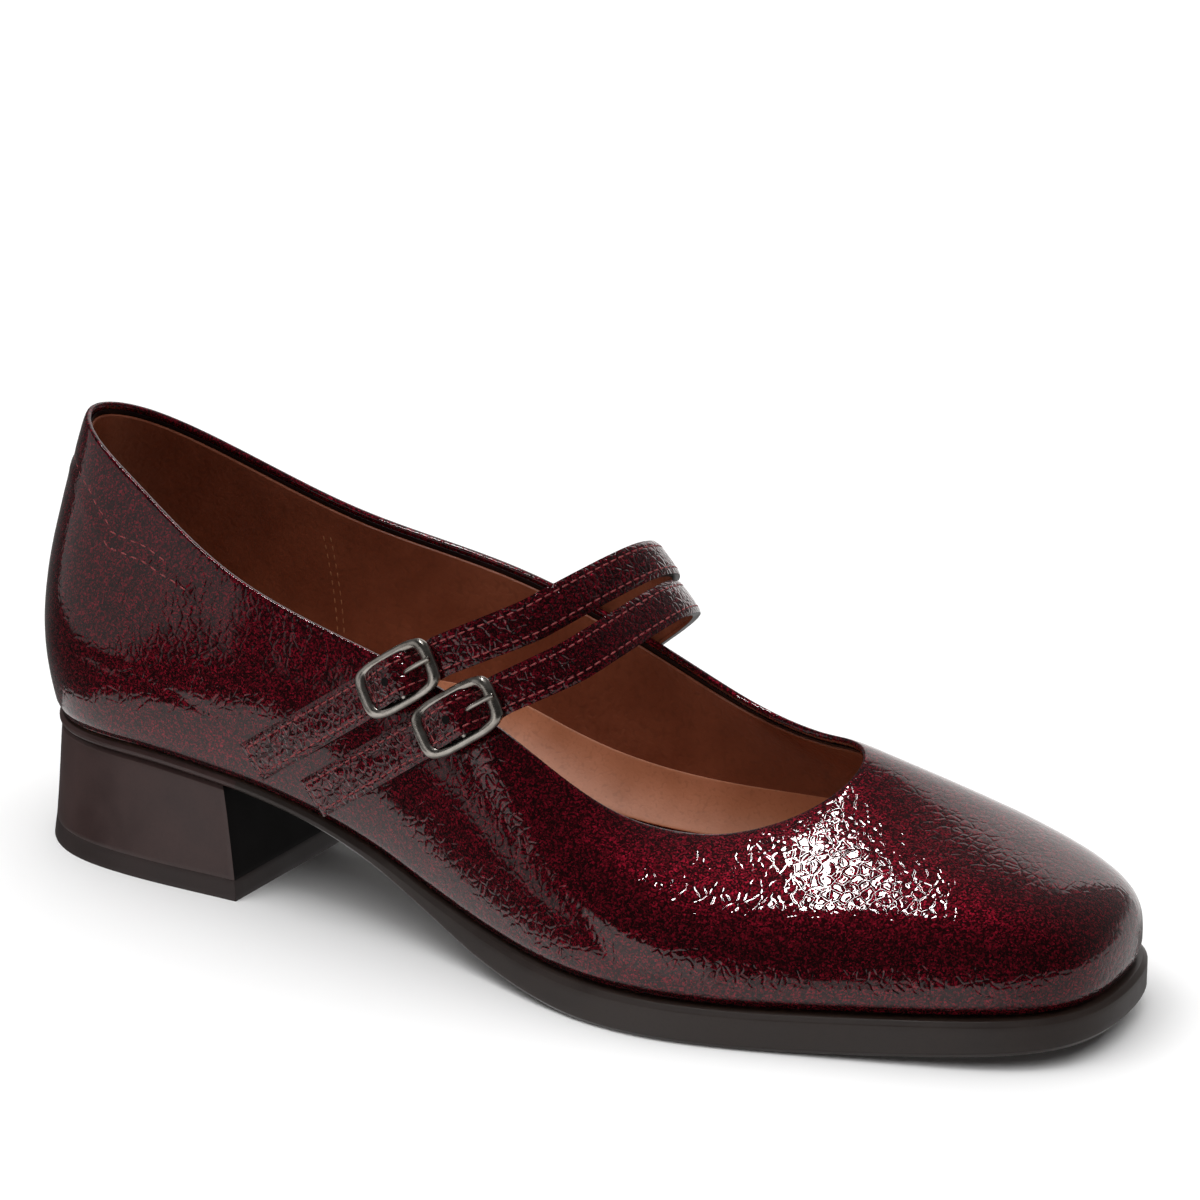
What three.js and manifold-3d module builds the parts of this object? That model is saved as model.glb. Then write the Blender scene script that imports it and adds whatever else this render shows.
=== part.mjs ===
// A right mary jane pump: a square-toed slip-on upper on a low block heel, with two
// narrow straps over the instep that buckle on the outer side. Units are millimetres.
// X runs from heel to toe, Y to the inner side of the foot, Z up. The origin lies in
// the heel's bottom face, on the floor.

import * as THREE from "three";
import Module from "manifold-3d";

const wasm = await Module();
wasm.setup();

// Lengths and widths of the last, along the feather line where upper and sole meet
const lastLength = 255.8;
const heelDepth = 33.5;
const heelWidth = 56.4;
const waistWidth = 51;
const ballWidth = 83.2;
const toeWidth = 55;

// Heights of the last and of the upper on it
const heelHeight = 29.6;
const toeSpring = 3.2;
const quarterHeight = 66;
const vampHeight = 36;
const shoulderHeight = 22;
const wallBulge = 4;

// The opening for the foot
const collarLean = 5.3;
const openingLength = 189;
const openingWidth = 59;

// Walls and soles
const upperWall = 1.8;
const rimRound = 0.5;
const forefootThickness = 8.4;
const shankThickness = 2.4;
const soleLedge = 1.4;
const soleEdge = 1;
const insoleThickness = 2.4;
const insoleEdge = 0.8;
const fitGap = 0.3;

// Heel block and its lift
const liftThickness = 4.5;
const heelFlare = 1.9;
const heelInset = 0.6;
const breastSlant = 4.2;
const breastPlace = 24.5;
const heelEdge = 0.8;

// Straps, tabs and buckles
const strapWidth = 9.2;
const strapTaper = 0.4;
const strapEndWidth = 8.2;
const strapThickness = 1.8;
const strapEdge = 0.35;
const bandGap = 0.45;
const strapArch = 20.4;
const strapReach = 26.5;
const strapEndLength = 15;
const tabFoot = 6.6;
const tabThickness = 1.6;
const buckleLength = 20.5;
const bucklePlay = 0.55;
const barThickness = 2.1;
const sideThickness = 1.4;
const centreBar = 1.7;
const prongThickness = 1.3;
const prongPlay = 0.45;

// How many columns and rows the upper's wall has
const columns = 80;
const wallRows = 13;
const crossPoints = 3;

// The stations go once round the shoe, from the back of the heel along the outer side
// to the toe and back along the inner side. Each gives a point of the feather line, as a
// share of the last's length and of a local width, and of the wall over it the bulge
// and the height of its shoulder and how full it is.
const stations = [
  { along: 0.000, across: 0.000, span: heelWidth, bulge: 1.40, rise: 1.08, full: 3.7 },
  { along: 0.032, across: -0.352, span: heelWidth, bulge: 1.35, rise: 1.04, full: 3.5 },
  { along: 0.110, across: -0.496, span: heelWidth, bulge: 1.25, rise: 0.80, full: 2.8 },
  { along: 0.240, across: -0.500, span: heelWidth, bulge: 1.10, rise: 0.80, full: 2.7 },
  { along: 0.381, across: -0.594, span: waistWidth, bulge: 1.20, rise: 0.80, full: 2.6 },
  { along: 0.514, across: -0.447, span: ballWidth, bulge: 1.10, rise: 0.85, full: 2.5 },
  { along: 0.592, across: -0.512, span: ballWidth, bulge: 0.75, rise: 0.85, full: 2.5 },
  { along: 0.663, across: -0.533, span: ballWidth, bulge: 0.50, rise: 0.82, full: 2.6 },
  { along: 0.756, across: -0.468, span: ballWidth, bulge: 0.45, rise: 0.76, full: 2.7 },
  { along: 0.860, across: -0.535, span: toeWidth, bulge: 0.40, rise: 0.76, full: 3.0 },
  { along: 0.940, across: -0.390, span: toeWidth, bulge: 0.30, rise: 0.82, full: 3.8 },
  { along: 0.986, across: -0.230, span: toeWidth, bulge: 0.25, rise: 0.87, full: 4.8 },
  { along: 1.000, across: 0.000, span: toeWidth, bulge: 0.25, rise: 0.88, full: 5.5 },
  { along: 0.996, across: 0.260, span: toeWidth, bulge: 0.25, rise: 0.84, full: 5.5 },
  { along: 0.977, across: 0.500, span: toeWidth, bulge: 0.25, rise: 0.79, full: 4.4 },
  { along: 0.932, across: 0.645, span: toeWidth, bulge: 0.35, rise: 0.74, full: 3.5 },
  { along: 0.839, across: 0.468, span: ballWidth, bulge: 0.50, rise: 0.72, full: 3.0 },
  { along: 0.741, across: 0.469, span: ballWidth, bulge: 0.70, rise: 0.80, full: 2.7 },
  { along: 0.639, across: 0.409, span: ballWidth, bulge: 1.10, rise: 0.90, full: 2.5 },
  { along: 0.530, across: 0.306, span: ballWidth, bulge: 2.00, rise: 0.95, full: 2.5 },
  { along: 0.389, across: 0.407, span: waistWidth, bulge: 2.50, rise: 0.95, full: 2.6 },
  { along: 0.240, across: 0.457, span: heelWidth, bulge: 1.45, rise: 0.85, full: 2.7 },
  { along: 0.110, across: 0.496, span: heelWidth, bulge: 1.25, rise: 0.80, full: 2.8 },
  { along: 0.032, across: 0.352, span: heelWidth, bulge: 1.35, rise: 1.04, full: 3.5 },
];

// The point of the topline that each station's wall reaches: shares of the opening's
// length and width, and the height over the station's foot
const topline = [
  { along: 0.000, across: 0.000, height: 0.996, tall: quarterHeight },
  { along: 0.030, across: -0.168, height: 0.968, tall: quarterHeight },
  { along: 0.119, across: -0.288, height: 0.858, tall: quarterHeight },
  { along: 0.279, across: -0.424, height: 0.692, tall: quarterHeight },
  { along: 0.472, across: -0.483, height: 0.664, tall: quarterHeight },
  { along: 0.648, across: -0.525, height: 0.676, tall: quarterHeight },
  { along: 0.744, across: -0.508, height: 0.561, tall: quarterHeight },
  { along: 0.809, across: -0.458, height: 0.856, tall: vampHeight },
  { along: 0.878, across: -0.364, height: 0.775, tall: vampHeight },
  { along: 0.926, across: -0.271, height: 0.756, tall: vampHeight },
  { along: 0.961, across: -0.161, height: 0.775, tall: vampHeight },
  { along: 0.982, across: -0.068, height: 0.817, tall: vampHeight },
  { along: 0.997, across: 0.034, height: 0.886, tall: vampHeight },
  { along: 0.999, across: 0.144, height: 0.953, tall: vampHeight },
  { along: 0.985, across: 0.246, height: 0.992, tall: vampHeight },
  { along: 0.958, across: 0.322, height: 0.994, tall: vampHeight },
  { along: 0.913, across: 0.398, height: 0.980, tall: vampHeight },
  { along: 0.862, across: 0.449, height: 0.995, tall: vampHeight },
  { along: 0.793, across: 0.492, height: 1.050, tall: vampHeight },
  { along: 0.670, across: 0.508, height: 0.675, tall: quarterHeight },
  { along: 0.482, across: 0.485, height: 0.698, tall: quarterHeight },
  { along: 0.279, across: 0.432, height: 0.691, tall: quarterHeight },
  { along: 0.119, across: 0.297, height: 0.848, tall: quarterHeight },
  { along: 0.030, across: 0.155, height: 0.968, tall: quarterHeight },
];

// The bottom of the last and the sole under it, from heel to toe. rise is the height
// as a share of the drop from heel seat to forefoot, spring a share of the toe spring,
// thick a share of the step from shank to forefoot thickness, and ledge a share of the
// width that the sole stands out all round.
const bottomLine = [
  { along: 0.000, rise: 0.985, spring: 0, thick: 0.00, ledge: 0.00 },
  { along: 0.131, rise: 1.000, spring: 0, thick: 0.00, ledge: 0.00 },
  { along: 0.217, rise: 0.920, spring: 0, thick: 0.00, ledge: 0.00 },
  { along: 0.303, rise: 0.765, spring: 0, thick: 0.03, ledge: 0.10 },
  { along: 0.381, rise: 0.550, spring: 0, thick: 0.20, ledge: 0.40 },
  { along: 0.444, rise: 0.300, spring: 0, thick: 0.42, ledge: 0.60 },
  { along: 0.506, rise: 0.115, spring: 0, thick: 0.76, ledge: 0.85 },
  { along: 0.569, rise: 0.020, spring: 0, thick: 0.92, ledge: 0.90 },
  { along: 0.616, rise: 0.000, spring: 0, thick: 1.00, ledge: 1.00 },
  { along: 0.740, rise: 0.000, spring: 0, thick: 1.00, ledge: 1.00 },
  { along: 0.820, rise: 0.000, spring: 0.22, thick: 1.00, ledge: 1.00 },
  { along: 0.920, rise: 0.000, spring: 0.66, thick: 0.95, ledge: 1.00 },
  { along: 1.000, rise: 0.000, spring: 1.00, thick: 0.84, ledge: 1.00 },
  { along: 1.030, rise: 0.000, spring: 1.10, thick: 0.82, ledge: 1.00 },
];

// The free arch of a strap between its buckle and the inner side: the share of the way
// across, and the shares of its forward reach and of its arch height.
const archFolds = [
  { across: 0.185, forward: 0.81, rise: 0.66 },
  { across: 0.308, forward: 0.94, rise: 0.83 },
  { across: 0.446, forward: 0.99, rise: 0.94 },
  { across: 0.580, forward: 1.00, rise: 1.00 },
  { across: 0.680, forward: 0.96, rise: 0.98 },
  { across: 0.800, forward: 0.84, rise: 0.86 },
  { across: 0.905, forward: 0.61, rise: 0.62 },
  { across: 0.978, forward: 0.31, rise: 0.32 },
];

// Each strap lies some strap pitches in front of the rear one. slip is how far it is
// moved along its run, as a share of the buckle's length, and reach, arch and foot are
// its shares of the arch's reach and height and of its tab's height over the sole.
const strapPlaces = [
  { name: "rear", ahead: 0, slip: 0, reach: 1, arch: 1, foot: 1.15 },
  { name: "front", ahead: 1, slip: 0.483, reach: 0.87, arch: 0.9, foot: 0.86 },
];

// Where the rear strap crosses the topline at its buckle and on the inner side: shares
// of the opening's length, and of the quarter's height over the last
const buckleSeat = { along: 0.5377, height: 0.668 };
const innerSeat = { along: 0.6148, height: 0.726 };

// The strap's folds through its buckle, from its tip over the centre bar and under the
// end bar: shares of the tip's length, and of the rise to the bar or the dip under it
const tipFolds = [
  { run: -1, rise: 0, width: 0.78 },
  { run: -0.88, rise: 0.12, width: 0.89 },
  { run: -0.6, rise: 0.52, width: 0.98 },
  { run: -0.28, rise: 0.95, width: 1 },
  { run: 0.1, rise: 1, width: 1 },
];
const slotFolds = [
  { run: 0.38, dip: 0.22 },
  { run: 0.6, dip: 0.6 },
  { run: 0.8, dip: 0.9 },
  { run: 1, dip: 1 },
];

// The prong's bend from the centre bar to the end bar and past it, as shares of the way,
// of half the end bar and of the height at which the prong rests
const prongFolds = [
  { along: 0, past: 0, lift: 0 },
  { along: 0.2, past: 0, lift: 0.75 },
  { along: 0.45, past: 0, lift: 1.1 },
  { along: 1, past: 0, lift: 1 },
  { along: 1, past: 1, lift: 0.92 },
];
const holeReach = 0.75;

// How square the corners of the buckle's frame are, as the power of a superellipse
const cornerPower = 4.5;

// The slant of the straps' run on the two sides of the shoe
const outerSlant = THREE.MathUtils.degToRad(35);
const innerSlant = THREE.MathUtils.degToRad(45);

// Widths that follow from the strap's: its tail, the buckle's slot, and from one strap
// to the next at the buckles and at the inner ends
const strapTailWidth = strapWidth - strapTaper;
const buckleInnerWidth = strapTailWidth + 2 * bucklePlay;
const bucklePitch = buckleInnerWidth + 2 * sideThickness + fitGap;
const innerPitch = strapEndWidth + bandGap;

// Colours of the real materials
const patent = new THREE.MeshStandardMaterial({ color: 0x4a0a16, roughness: 0.22, metalness: 0.1 });
const lining = new THREE.MeshStandardMaterial({ color: 0x7a3d1c, roughness: 0.6, metalness: 0 });
const soleBrown = new THREE.MeshStandardMaterial({ color: 0x2a1a16, roughness: 0.5, metalness: 0 });
const heelBrown = new THREE.MeshStandardMaterial({ color: 0x2c1917, roughness: 0.4, metalness: 0 });
const nickel = new THREE.MeshStandardMaterial({ color: 0xa8a39a, roughness: 0.35, metalness: 1 });

const vec = (x, y, z) => new THREE.Vector3(x, y, z);
const mix = THREE.MathUtils.lerp;

// The last place between start and end where a condition that holds at the start does
function lastWhere(start, end, holds) {
  const halvingCount = 40;
  let near = start;
  let far = end;
  for (let i = 0; i < halvingCount; i++) {
    const middle = (near + far) / 2;
    if (holds(middle)) near = middle;
    else far = middle;
  }
  return near;
}

// A closed solid from points and triangles, turned so that its faces point out
function solid(points, triangles) {
  const volume = triangles.reduce((sum, [a, b, c]) => {
    const cross = new THREE.Vector3().crossVectors(points[b], points[c]);
    return sum + points[a].dot(cross);
  }, 0);
  const faces = volume > 0 ? triangles : triangles.map(([a, b, c]) => [a, c, b]);
  const geometry = new THREE.BufferGeometry();
  geometry.setAttribute("position", new THREE.Float32BufferAttribute(points.flatMap((p) => p.toArray()), 3));
  geometry.setIndex(faces.flat());
  return geometry;
}

// Two triangles between neighbouring places of two rings
const quad = (a, b, c, d) => [[a, b, c], [a, c, d]];

// A closed cubic spline: the second slopes of a cyclic row of values at the given knots
function closedSpline(knots, values) {
  const n = values.length;
  const step = values.map((_, i) => knots[i + 1] - knots[i]);
  const slopes = new Array(n).fill(0);
  const sweepCount = 60;
  for (let sweep = 0; sweep < sweepCount; sweep++) {
    for (let i = 0; i < n; i++) {
      const before = (i + n - 1) % n;
      const after = (i + 1) % n;
      const jump = (values[after] - values[i]) / step[i] - (values[i] - values[before]) / step[before];
      const pull = step[before] * slopes[before] + step[i] * slopes[after];
      slopes[i] = (6 * jump - pull) / (2 * (step[before] + step[i]));
    }
  }
  const total = knots[n];
  return (place) => {
    const u = ((place % total) + total) % total;
    let i = 0;
    while (i < n - 1 && u >= knots[i + 1]) i++;
    const after = (i + 1) % n;
    const a = (knots[i + 1] - u) / step[i];
    const b = 1 - a;
    const bend = ((a ** 3 - a) * slopes[i] + (b ** 3 - b) * slopes[after]) * (step[i] ** 2 / 6);
    return a * values[i] + b * values[after] + bend;
  };
}

// A smooth curve through a table that never overshoots its rows, so equal rows stay flat
function steadyCurve(rows, key) {
  const x = rows.map((row) => row.along);
  const y = rows.map((row) => row[key]);
  const last = rows.length - 1;
  const rate = y.slice(1).map((value, i) => (value - y[i]) / (x[i + 1] - x[i]));
  const slope = y.map((_, i) => {
    if (i === 0 || i === last) return 0;
    const product = rate[i - 1] * rate[i];
    return product <= 0 ? 0 : (2 * product) / (rate[i - 1] + rate[i]);
  });
  return (place) => {
    const u = Math.min(Math.max(place, x[0]), x[last]);
    let i = 0;
    while (i < last - 1 && u > x[i + 1]) i++;
    const width = x[i + 1] - x[i];
    const t = (u - x[i]) / width;
    const start = (1 + 2 * t) * (1 - t) ** 2 * y[i] + t * (1 - t) ** 2 * width * slope[i];
    const end = t * t * (3 - 2 * t) * y[i + 1] + t * t * (t - 1) * width * slope[i + 1];
    return start + end;
  };
}

// Heights of the last's bottom, of the sole's two faces, and the sole's ledge
const shareAlong = (x) => (x + heelDepth) / lastLength;
const riseCurve = steadyCurve(bottomLine, "rise");
const springCurve = steadyCurve(bottomLine, "spring");
const thickCurve = steadyCurve(bottomLine, "thick");
const ledgeCurve = steadyCurve(bottomLine, "ledge");

function lastBottom(x) {
  const share = shareAlong(x);
  const drop = heelHeight - forefootThickness;
  return forefootThickness + drop * riseCurve(share) + toeSpring * springCurve(share);
}

function soleBottom(x) {
  const thickness = mix(shankThickness, forefootThickness, thickCurve(shareAlong(x)));
  return lastBottom(x) - thickness;
}

// The stations at full size: feather point, topline point and the wall's own values
const heelBack = -heelDepth;
const placed = stations.map((row, i) => {
  const x = heelBack + row.along * lastLength;
  const top = topline[i];
  return {
    x,
    y: row.across * row.span,
    topX: heelBack + collarLean + top.along * openingLength,
    topY: top.across * openingWidth,
    topZ: lastBottom(x) + top.height * top.tall,
    bulge: row.bulge * wallBulge,
    rise: row.rise * shoulderHeight,
    full: row.full,
  };
});

// Knots along the mean of the feather line and the topline
const knots = [0];
placed.forEach((row, i) => {
  const next = placed[(i + 1) % placed.length];
  const below = Math.hypot(next.x - row.x, next.y - row.y);
  const above = Math.hypot(next.topX - row.topX, next.topY - row.topY, next.topZ - row.topZ);
  knots.push(knots[i] + (below + above) / 2);
});
const girth = knots[knots.length - 1];
const along = {};
for (const key of ["x", "y", "topX", "topY", "topZ", "bulge", "rise", "full"]) {
  along[key] = closedSpline(knots, placed.map((row) => row[key]));
}

// The feather line in plan, and the way out of it
const featherStep = 0.5;
const feather = (u) => new THREE.Vector2(along.x(u), along.y(u));
function wayOut(u) {
  const chord = feather(u + featherStep).sub(feather(u - featherStep)).normalize();
  return new THREE.Vector2(chord.y, -chord.x);
}

// The wall over one place of the feather line: it leaves the sole upright, swells to
// its shoulder and runs in to the topline as a superellipse between the two.
function wallPoint(u, turn) {
  const foot = feather(u);
  const out = wayOut(u);
  const base = vec(foot.x, foot.y, lastBottom(foot.x));
  const shoulder = base.clone().add(vec(out.x * along.bulge(u), out.y * along.bulge(u), along.rise(u)));
  const top = vec(along.topX(u), along.topY(u), along.topZ(u));
  const power = 2 / Math.max(along.full(u), 2);
  const up = Math.sin(turn) ** power;
  const across = 1 - Math.max(Math.cos(turn), 0) ** power;
  const swell = shoulder.clone().sub(base).multiplyScalar(up);
  const lean = top.sub(shoulder).multiplyScalar(across);
  return base.add(swell).add(lean);
}

// One column of the wall, with its rows spread by length and by turn alike
function wallColumn(u) {
  const sampleCount = 160;
  const evenShare = 0.6;
  const quarterTurn = Math.PI / 2;
  const samples = Array.from({ length: sampleCount + 1 }, (_, i) => {
    return wallPoint(u, (quarterTurn * i) / sampleCount);
  });
  const lengths = [0];
  for (let i = 1; i <= sampleCount; i++) {
    lengths.push(lengths[i - 1] + samples[i].distanceTo(samples[i - 1]));
  }
  const total = lengths[sampleCount];
  const spread = lengths.map((length, i) => mix(i / sampleCount, length / total, evenShare));
  return Array.from({ length: wallRows + 1 }, (_, row) => {
    const wanted = row / wallRows;
    let i = 1;
    while (i < sampleCount && spread[i] < wanted) i++;
    const t = (wanted - spread[i - 1]) / (spread[i] - spread[i - 1]);
    return samples[i - 1].clone().lerp(samples[i], Math.min(Math.max(t, 0), 1));
  });
}

const places = Array.from({ length: columns }, (_, i) => (girth * i) / columns);
const outerWall = places.map(wallColumn);

// Unit vectors out of the wall, by differences between neighbouring columns and rows
function wallNormal(i, row) {
  const next = outerWall[(i + 1) % columns][row];
  const before = outerWall[(i + columns - 1) % columns][row];
  const above = outerWall[i][Math.min(row + 1, wallRows)];
  const below = outerWall[i][Math.max(row - 1, 0)];
  const round = next.clone().sub(before);
  const up = above.clone().sub(below);
  return round.cross(up).normalize();
}

// The upper: the outer wall, a rounded rim, the inner wall and the bottom edge
function makeUpper() {
  const rings = [];
  for (let row = 0; row <= wallRows; row++) rings.push(outerWall.map((column) => column[row]));
  rings.push(outerWall.map((column, i) => {
    const inward = wallNormal(i, wallRows).multiplyScalar(-upperWall / 2);
    const upward = column[wallRows].clone().sub(column[wallRows - 1]).normalize().multiplyScalar(rimRound);
    return column[wallRows].clone().add(inward).add(upward);
  }));
  for (let row = wallRows; row >= 0; row--) {
    rings.push(outerWall.map((column, i) => {
      const normal = wallNormal(i, row);
      if (row === 0) normal.setZ(0).normalize();
      return column[row].clone().addScaledVector(normal, -upperWall);
    }));
  }
  const points = rings.flat();
  const triangles = [];
  rings.forEach((_, r) => {
    const next = (r + 1) % rings.length;
    for (let i = 0; i < columns; i++) {
      const j = (i + 1) % columns;
      triangles.push(...quad(r * columns + i, r * columns + j, next * columns + j, next * columns + i));
    }
  });
  return solid(points, triangles);
}

// A closed slab from a stack of rings, bottom to top. A ring starts at its back point,
// goes up one side, across the front in as many points as crossPoints, and back down
// the other side, so its two caps are laid as rungs from side to side.
function stack(rings, bottomHeight, topHeight) {
  const count = rings[0].length;
  const side = (count - 1 - crossPoints) / 2;
  const points = rings.flat();
  const triangles = [];
  for (let r = 0; r < rings.length - 1; r++) {
    for (let i = 0; i < count; i++) {
      const j = (i + 1) % count;
      triangles.push(...quad(r * count + i, r * count + j, (r + 1) * count + j, (r + 1) * count + i));
    }
  }
  const cap = (start, height, flip) => {
    const rung = (i) => {
      if (i === side) return Array.from({ length: crossPoints + 2 }, (_, k) => start + side + k);
      const left = points[start + i];
      const right = points[start + count - i];
      const inner = Array.from({ length: crossPoints }, (_, k) => {
        const point = left.clone().lerp(right, (k + 1) / (crossPoints + 1));
        point.z = height(point.x);
        return points.push(point) - 1;
      });
      return [start + i, ...inner, start + count - i];
    };
    const add = (a, b, c) => triangles.push(flip ? [a, c, b] : [a, b, c]);
    let before = rung(1);
    for (let k = 0; k < before.length - 1; k++) add(start, before[k], before[k + 1]);
    for (let i = 2; i <= side; i++) {
      const next = rung(i);
      for (let k = 0; k < next.length - 1; k++) {
        add(before[k], next[k], next[k + 1]);
        add(before[k], next[k + 1], before[k + 1]);
      }
      before = next;
    }
  };
  cap(0, bottomHeight, true);
  cap((rings.length - 1) * count, topHeight, false);
  return solid(points, triangles);
}

// A ring of the feather line moved out by a distance that may change along the shoe
function featherRing(outset, height) {
  return places.map((u) => {
    const foot = feather(u);
    foot.addScaledVector(wayOut(u), outset(foot.x));
    return vec(foot.x, foot.y, height(foot.x));
  });
}

function makeOutsole() {
  const top = (x) => lastBottom(x) - fitGap;
  const round = (x) => Math.min(soleEdge, (top(x) - soleBottom(x)) / 3);
  const ledge = (x) => soleLedge * ledgeCurve(shareAlong(x));
  const rings = [
    featherRing((x) => ledge(x) - round(x), soleBottom),
    featherRing(ledge, (x) => soleBottom(x) + round(x)),
    featherRing(ledge, (x) => top(x) - round(x)),
    featherRing((x) => ledge(x) - round(x), top),
  ];
  return stack(rings, soleBottom, top);
}

function makeInsole() {
  const inset = () => -(upperWall + 2 * fitGap);
  const top = (x) => lastBottom(x) + insoleThickness;
  const rings = [
    featherRing(inset, lastBottom),
    featherRing(inset, (x) => top(x) - insoleEdge),
    featherRing((x) => inset(x) - insoleEdge, top),
  ];
  return stack(rings, lastBottom, top);
}

// One outline of the heel at a share of its height, 0 at the floor and 1 at the seat:
// the feather line round the back, closed by a straight breast.
const heelSide = 13;
const flareCurve = 0.7;
function heelOutline(level, height) {
  const outset = mix(heelFlare, -heelInset, level ** flareCurve);
  const breast = breastPlace + breastSlant * (1 - level);
  const at = (u) => feather(u).addScaledVector(wayOut(u), outset);
  const ends = [1, -1].map((sign) => lastWhere(0, (sign * girth) / 4, (u) => at(u).x < breast));
  const ring = [at(0)];
  for (let i = 1; i <= heelSide; i++) ring.push(at((ends[0] * i) / heelSide));
  const left = ring[heelSide];
  const right = at(ends[1]);
  for (let k = 1; k <= crossPoints; k++) ring.push(left.clone().lerp(right, k / (crossPoints + 1)));
  for (let i = heelSide; i >= 1; i--) ring.push(at((ends[1] * i) / heelSide));
  return ring.map((p) => vec(p.x, p.y, height(p.x)));
}

const heelTop = (x) => soleBottom(x) - fitGap;

function makeHeelBlock() {
  const liftLevel = liftThickness / heelHeight;
  const rowCount = 5;
  const rings = [heelOutline(liftLevel, () => liftThickness)];
  for (let row = 1; row <= rowCount; row++) {
    const share = row / rowCount;
    const edge = row === rowCount ? heelEdge : 0;
    rings.push(heelOutline(mix(liftLevel, 1, share), (x) => mix(liftThickness, heelTop(x), share) - edge));
  }
  const rim = heelOutline(1, heelTop).map((p) => {
    const inward = vec(-p.x, -p.y, 0).normalize().multiplyScalar(heelEdge);
    return vec(p.x + inward.x, p.y + inward.y, heelTop(p.x + inward.x));
  });
  rings.push(rim);
  return stack(rings, () => liftThickness, heelTop);
}

function makeHeelLift() {
  const level = liftThickness / heelHeight;
  const flat = () => liftThickness;
  return stack([heelOutline(0, () => 0), heelOutline(level, flat)], () => 0, flat);
}

// The outer face of the wall on one side of the shoe, at a place along it and above the
// floor. Over the topline it goes on with the wall's own lean.
function sideWall(side, x, z) {
  const half = columns / 2;
  const cuts = [];
  for (let k = 1; k < half; k++) {
    const column = outerWall[side < 0 ? k : columns - k];
    let row = 1;
    while (row < wallRows && column[row].z < z) row++;
    const low = column[row - 1];
    const high = column[row];
    cuts.push(low.clone().lerp(high, (z - low.z) / (high.z - low.z)));
  }
  let i = 1;
  while (i < cuts.length - 1 && cuts[i].x < x) i++;
  return mix(cuts[i - 1].y, cuts[i].y, (x - cuts[i - 1].x) / (cuts[i].x - cuts[i - 1].x));
}

// The two edges of a band that lies on a side wall, its middle standing off the wall
function wallBand(side, x, z, slant, width, stand) {
  return [-1, 1].map((edge) => {
    const edgeX = x + (edge * Math.sin(slant) * width) / 2;
    const edgeZ = z - (edge * Math.cos(slant) * width) / 2;
    return vec(edgeX, sideWall(side, edgeX, edgeZ) + side * stand, edgeZ);
  });
}

// A leather band through pairs of edge points, with its thickness on both sides of them
// and its long edges bevelled
function band(pairs, thickness, steps) {
  const sides = [0, 1].map((side) => {
    return new THREE.CatmullRomCurve3(pairs.map((pair) => pair[side]), false, "centripetal");
  });
  const count = steps * (pairs.length - 1);
  const rows = Array.from({ length: count + 1 }, (_, i) => sides.map((side) => side.getPoint(i / count)));
  const middle = rows.map(([a, b]) => a.clone().add(b).multiplyScalar(0.5));
  const half = thickness / 2;
  const points = [];
  rows.forEach(([a, b], i) => {
    const run = middle[Math.min(i + 1, count)].clone().sub(middle[Math.max(i - 1, 0)]);
    const across = b.clone().sub(a).normalize();
    const up = new THREE.Vector3().crossVectors(run, across).normalize();
    const corner = (edge, inset, height) => {
      return edge.clone().addScaledVector(across, inset).addScaledVector(up, height);
    };
    points.push(
      corner(a, 0, strapEdge - half), corner(a, 0, half - strapEdge),
      corner(a, strapEdge, half), corner(b, -strapEdge, half),
      corner(b, 0, half - strapEdge), corner(b, 0, strapEdge - half),
      corner(b, -strapEdge, -half), corner(a, strapEdge, -half),
    );
  });
  return tube(points, points.length / rows.length);
}

// A closed tube from rings of points laid one after the other, with flat ends
function tube(points, sideCount) {
  const rings = points.length / sideCount;
  const triangles = [];
  for (let r = 0; r < rings - 1; r++) {
    for (let i = 0; i < sideCount; i++) {
      const j = (i + 1) % sideCount;
      const here = r * sideCount;
      const next = here + sideCount;
      triangles.push(...quad(here + i, here + j, next + j, next + i));
    }
  }
  const last = (rings - 1) * sideCount;
  for (let i = 1; i < sideCount - 1; i++) {
    triangles.push([0, i + 1, i]);
    triangles.push([last, last + i, last + i + 1]);
  }
  return solid(points, triangles);
}

// A place on one strap's line down a side wall, forward of the origin and over the floor
function strapLine(seat, slant, pitch, slip, place, distance) {
  const seatX = heelBack + collarLean + seat.along * openingLength;
  const seatZ = lastBottom(seatX) + seat.height * quarterHeight;
  const ahead = place.ahead * pitch;
  const run = place.slip * slip + distance;
  return {
    x: seatX + ahead * Math.sin(slant) + run * Math.cos(slant),
    z: seatZ - ahead * Math.cos(slant) + run * Math.sin(slant),
  };
}
const outerLine = (place, distance) => {
  return strapLine(buckleSeat, outerSlant, bucklePitch, buckleLength, place, distance);
};
const innerLine = (place, distance) => strapLine(innerSeat, innerSlant, innerPitch, 0, place, distance);

// Heights over the side wall of the pieces that lie on it
const tabStand = bandGap + tabThickness / 2;
const strapStand = bandGap + strapThickness / 2;
const frameStand = bandGap + tabThickness + fitGap + barThickness / 2;

// The place and the three directions of a buckle: along the strap, across it and out
function buckleFrame(place) {
  const half = buckleLength / 2;
  const at = (distance) => {
    const { x, z } = outerLine(place, distance);
    return wallBand(-1, x, z, outerSlant, strapWidth, frameStand);
  };
  const middle = ([a, b]) => a.clone().add(b).multiplyScalar(0.5);
  const run = middle(at(half)).sub(middle(at(-half))).normalize();
  const [upper, lower] = at(0);
  const across = lower.clone().sub(upper);
  const out = new THREE.Vector3().crossVectors(across, run).normalize();
  return { centre: middle([upper, lower]), run, across: new THREE.Vector3().crossVectors(run, out), out };
}

// A point in a buckle's own directions
function inFrame(frame, run, across, out) {
  return frame.centre.clone()
    .addScaledVector(frame.run, run)
    .addScaledVector(frame.across, across)
    .addScaledVector(frame.out, out);
}

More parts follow.
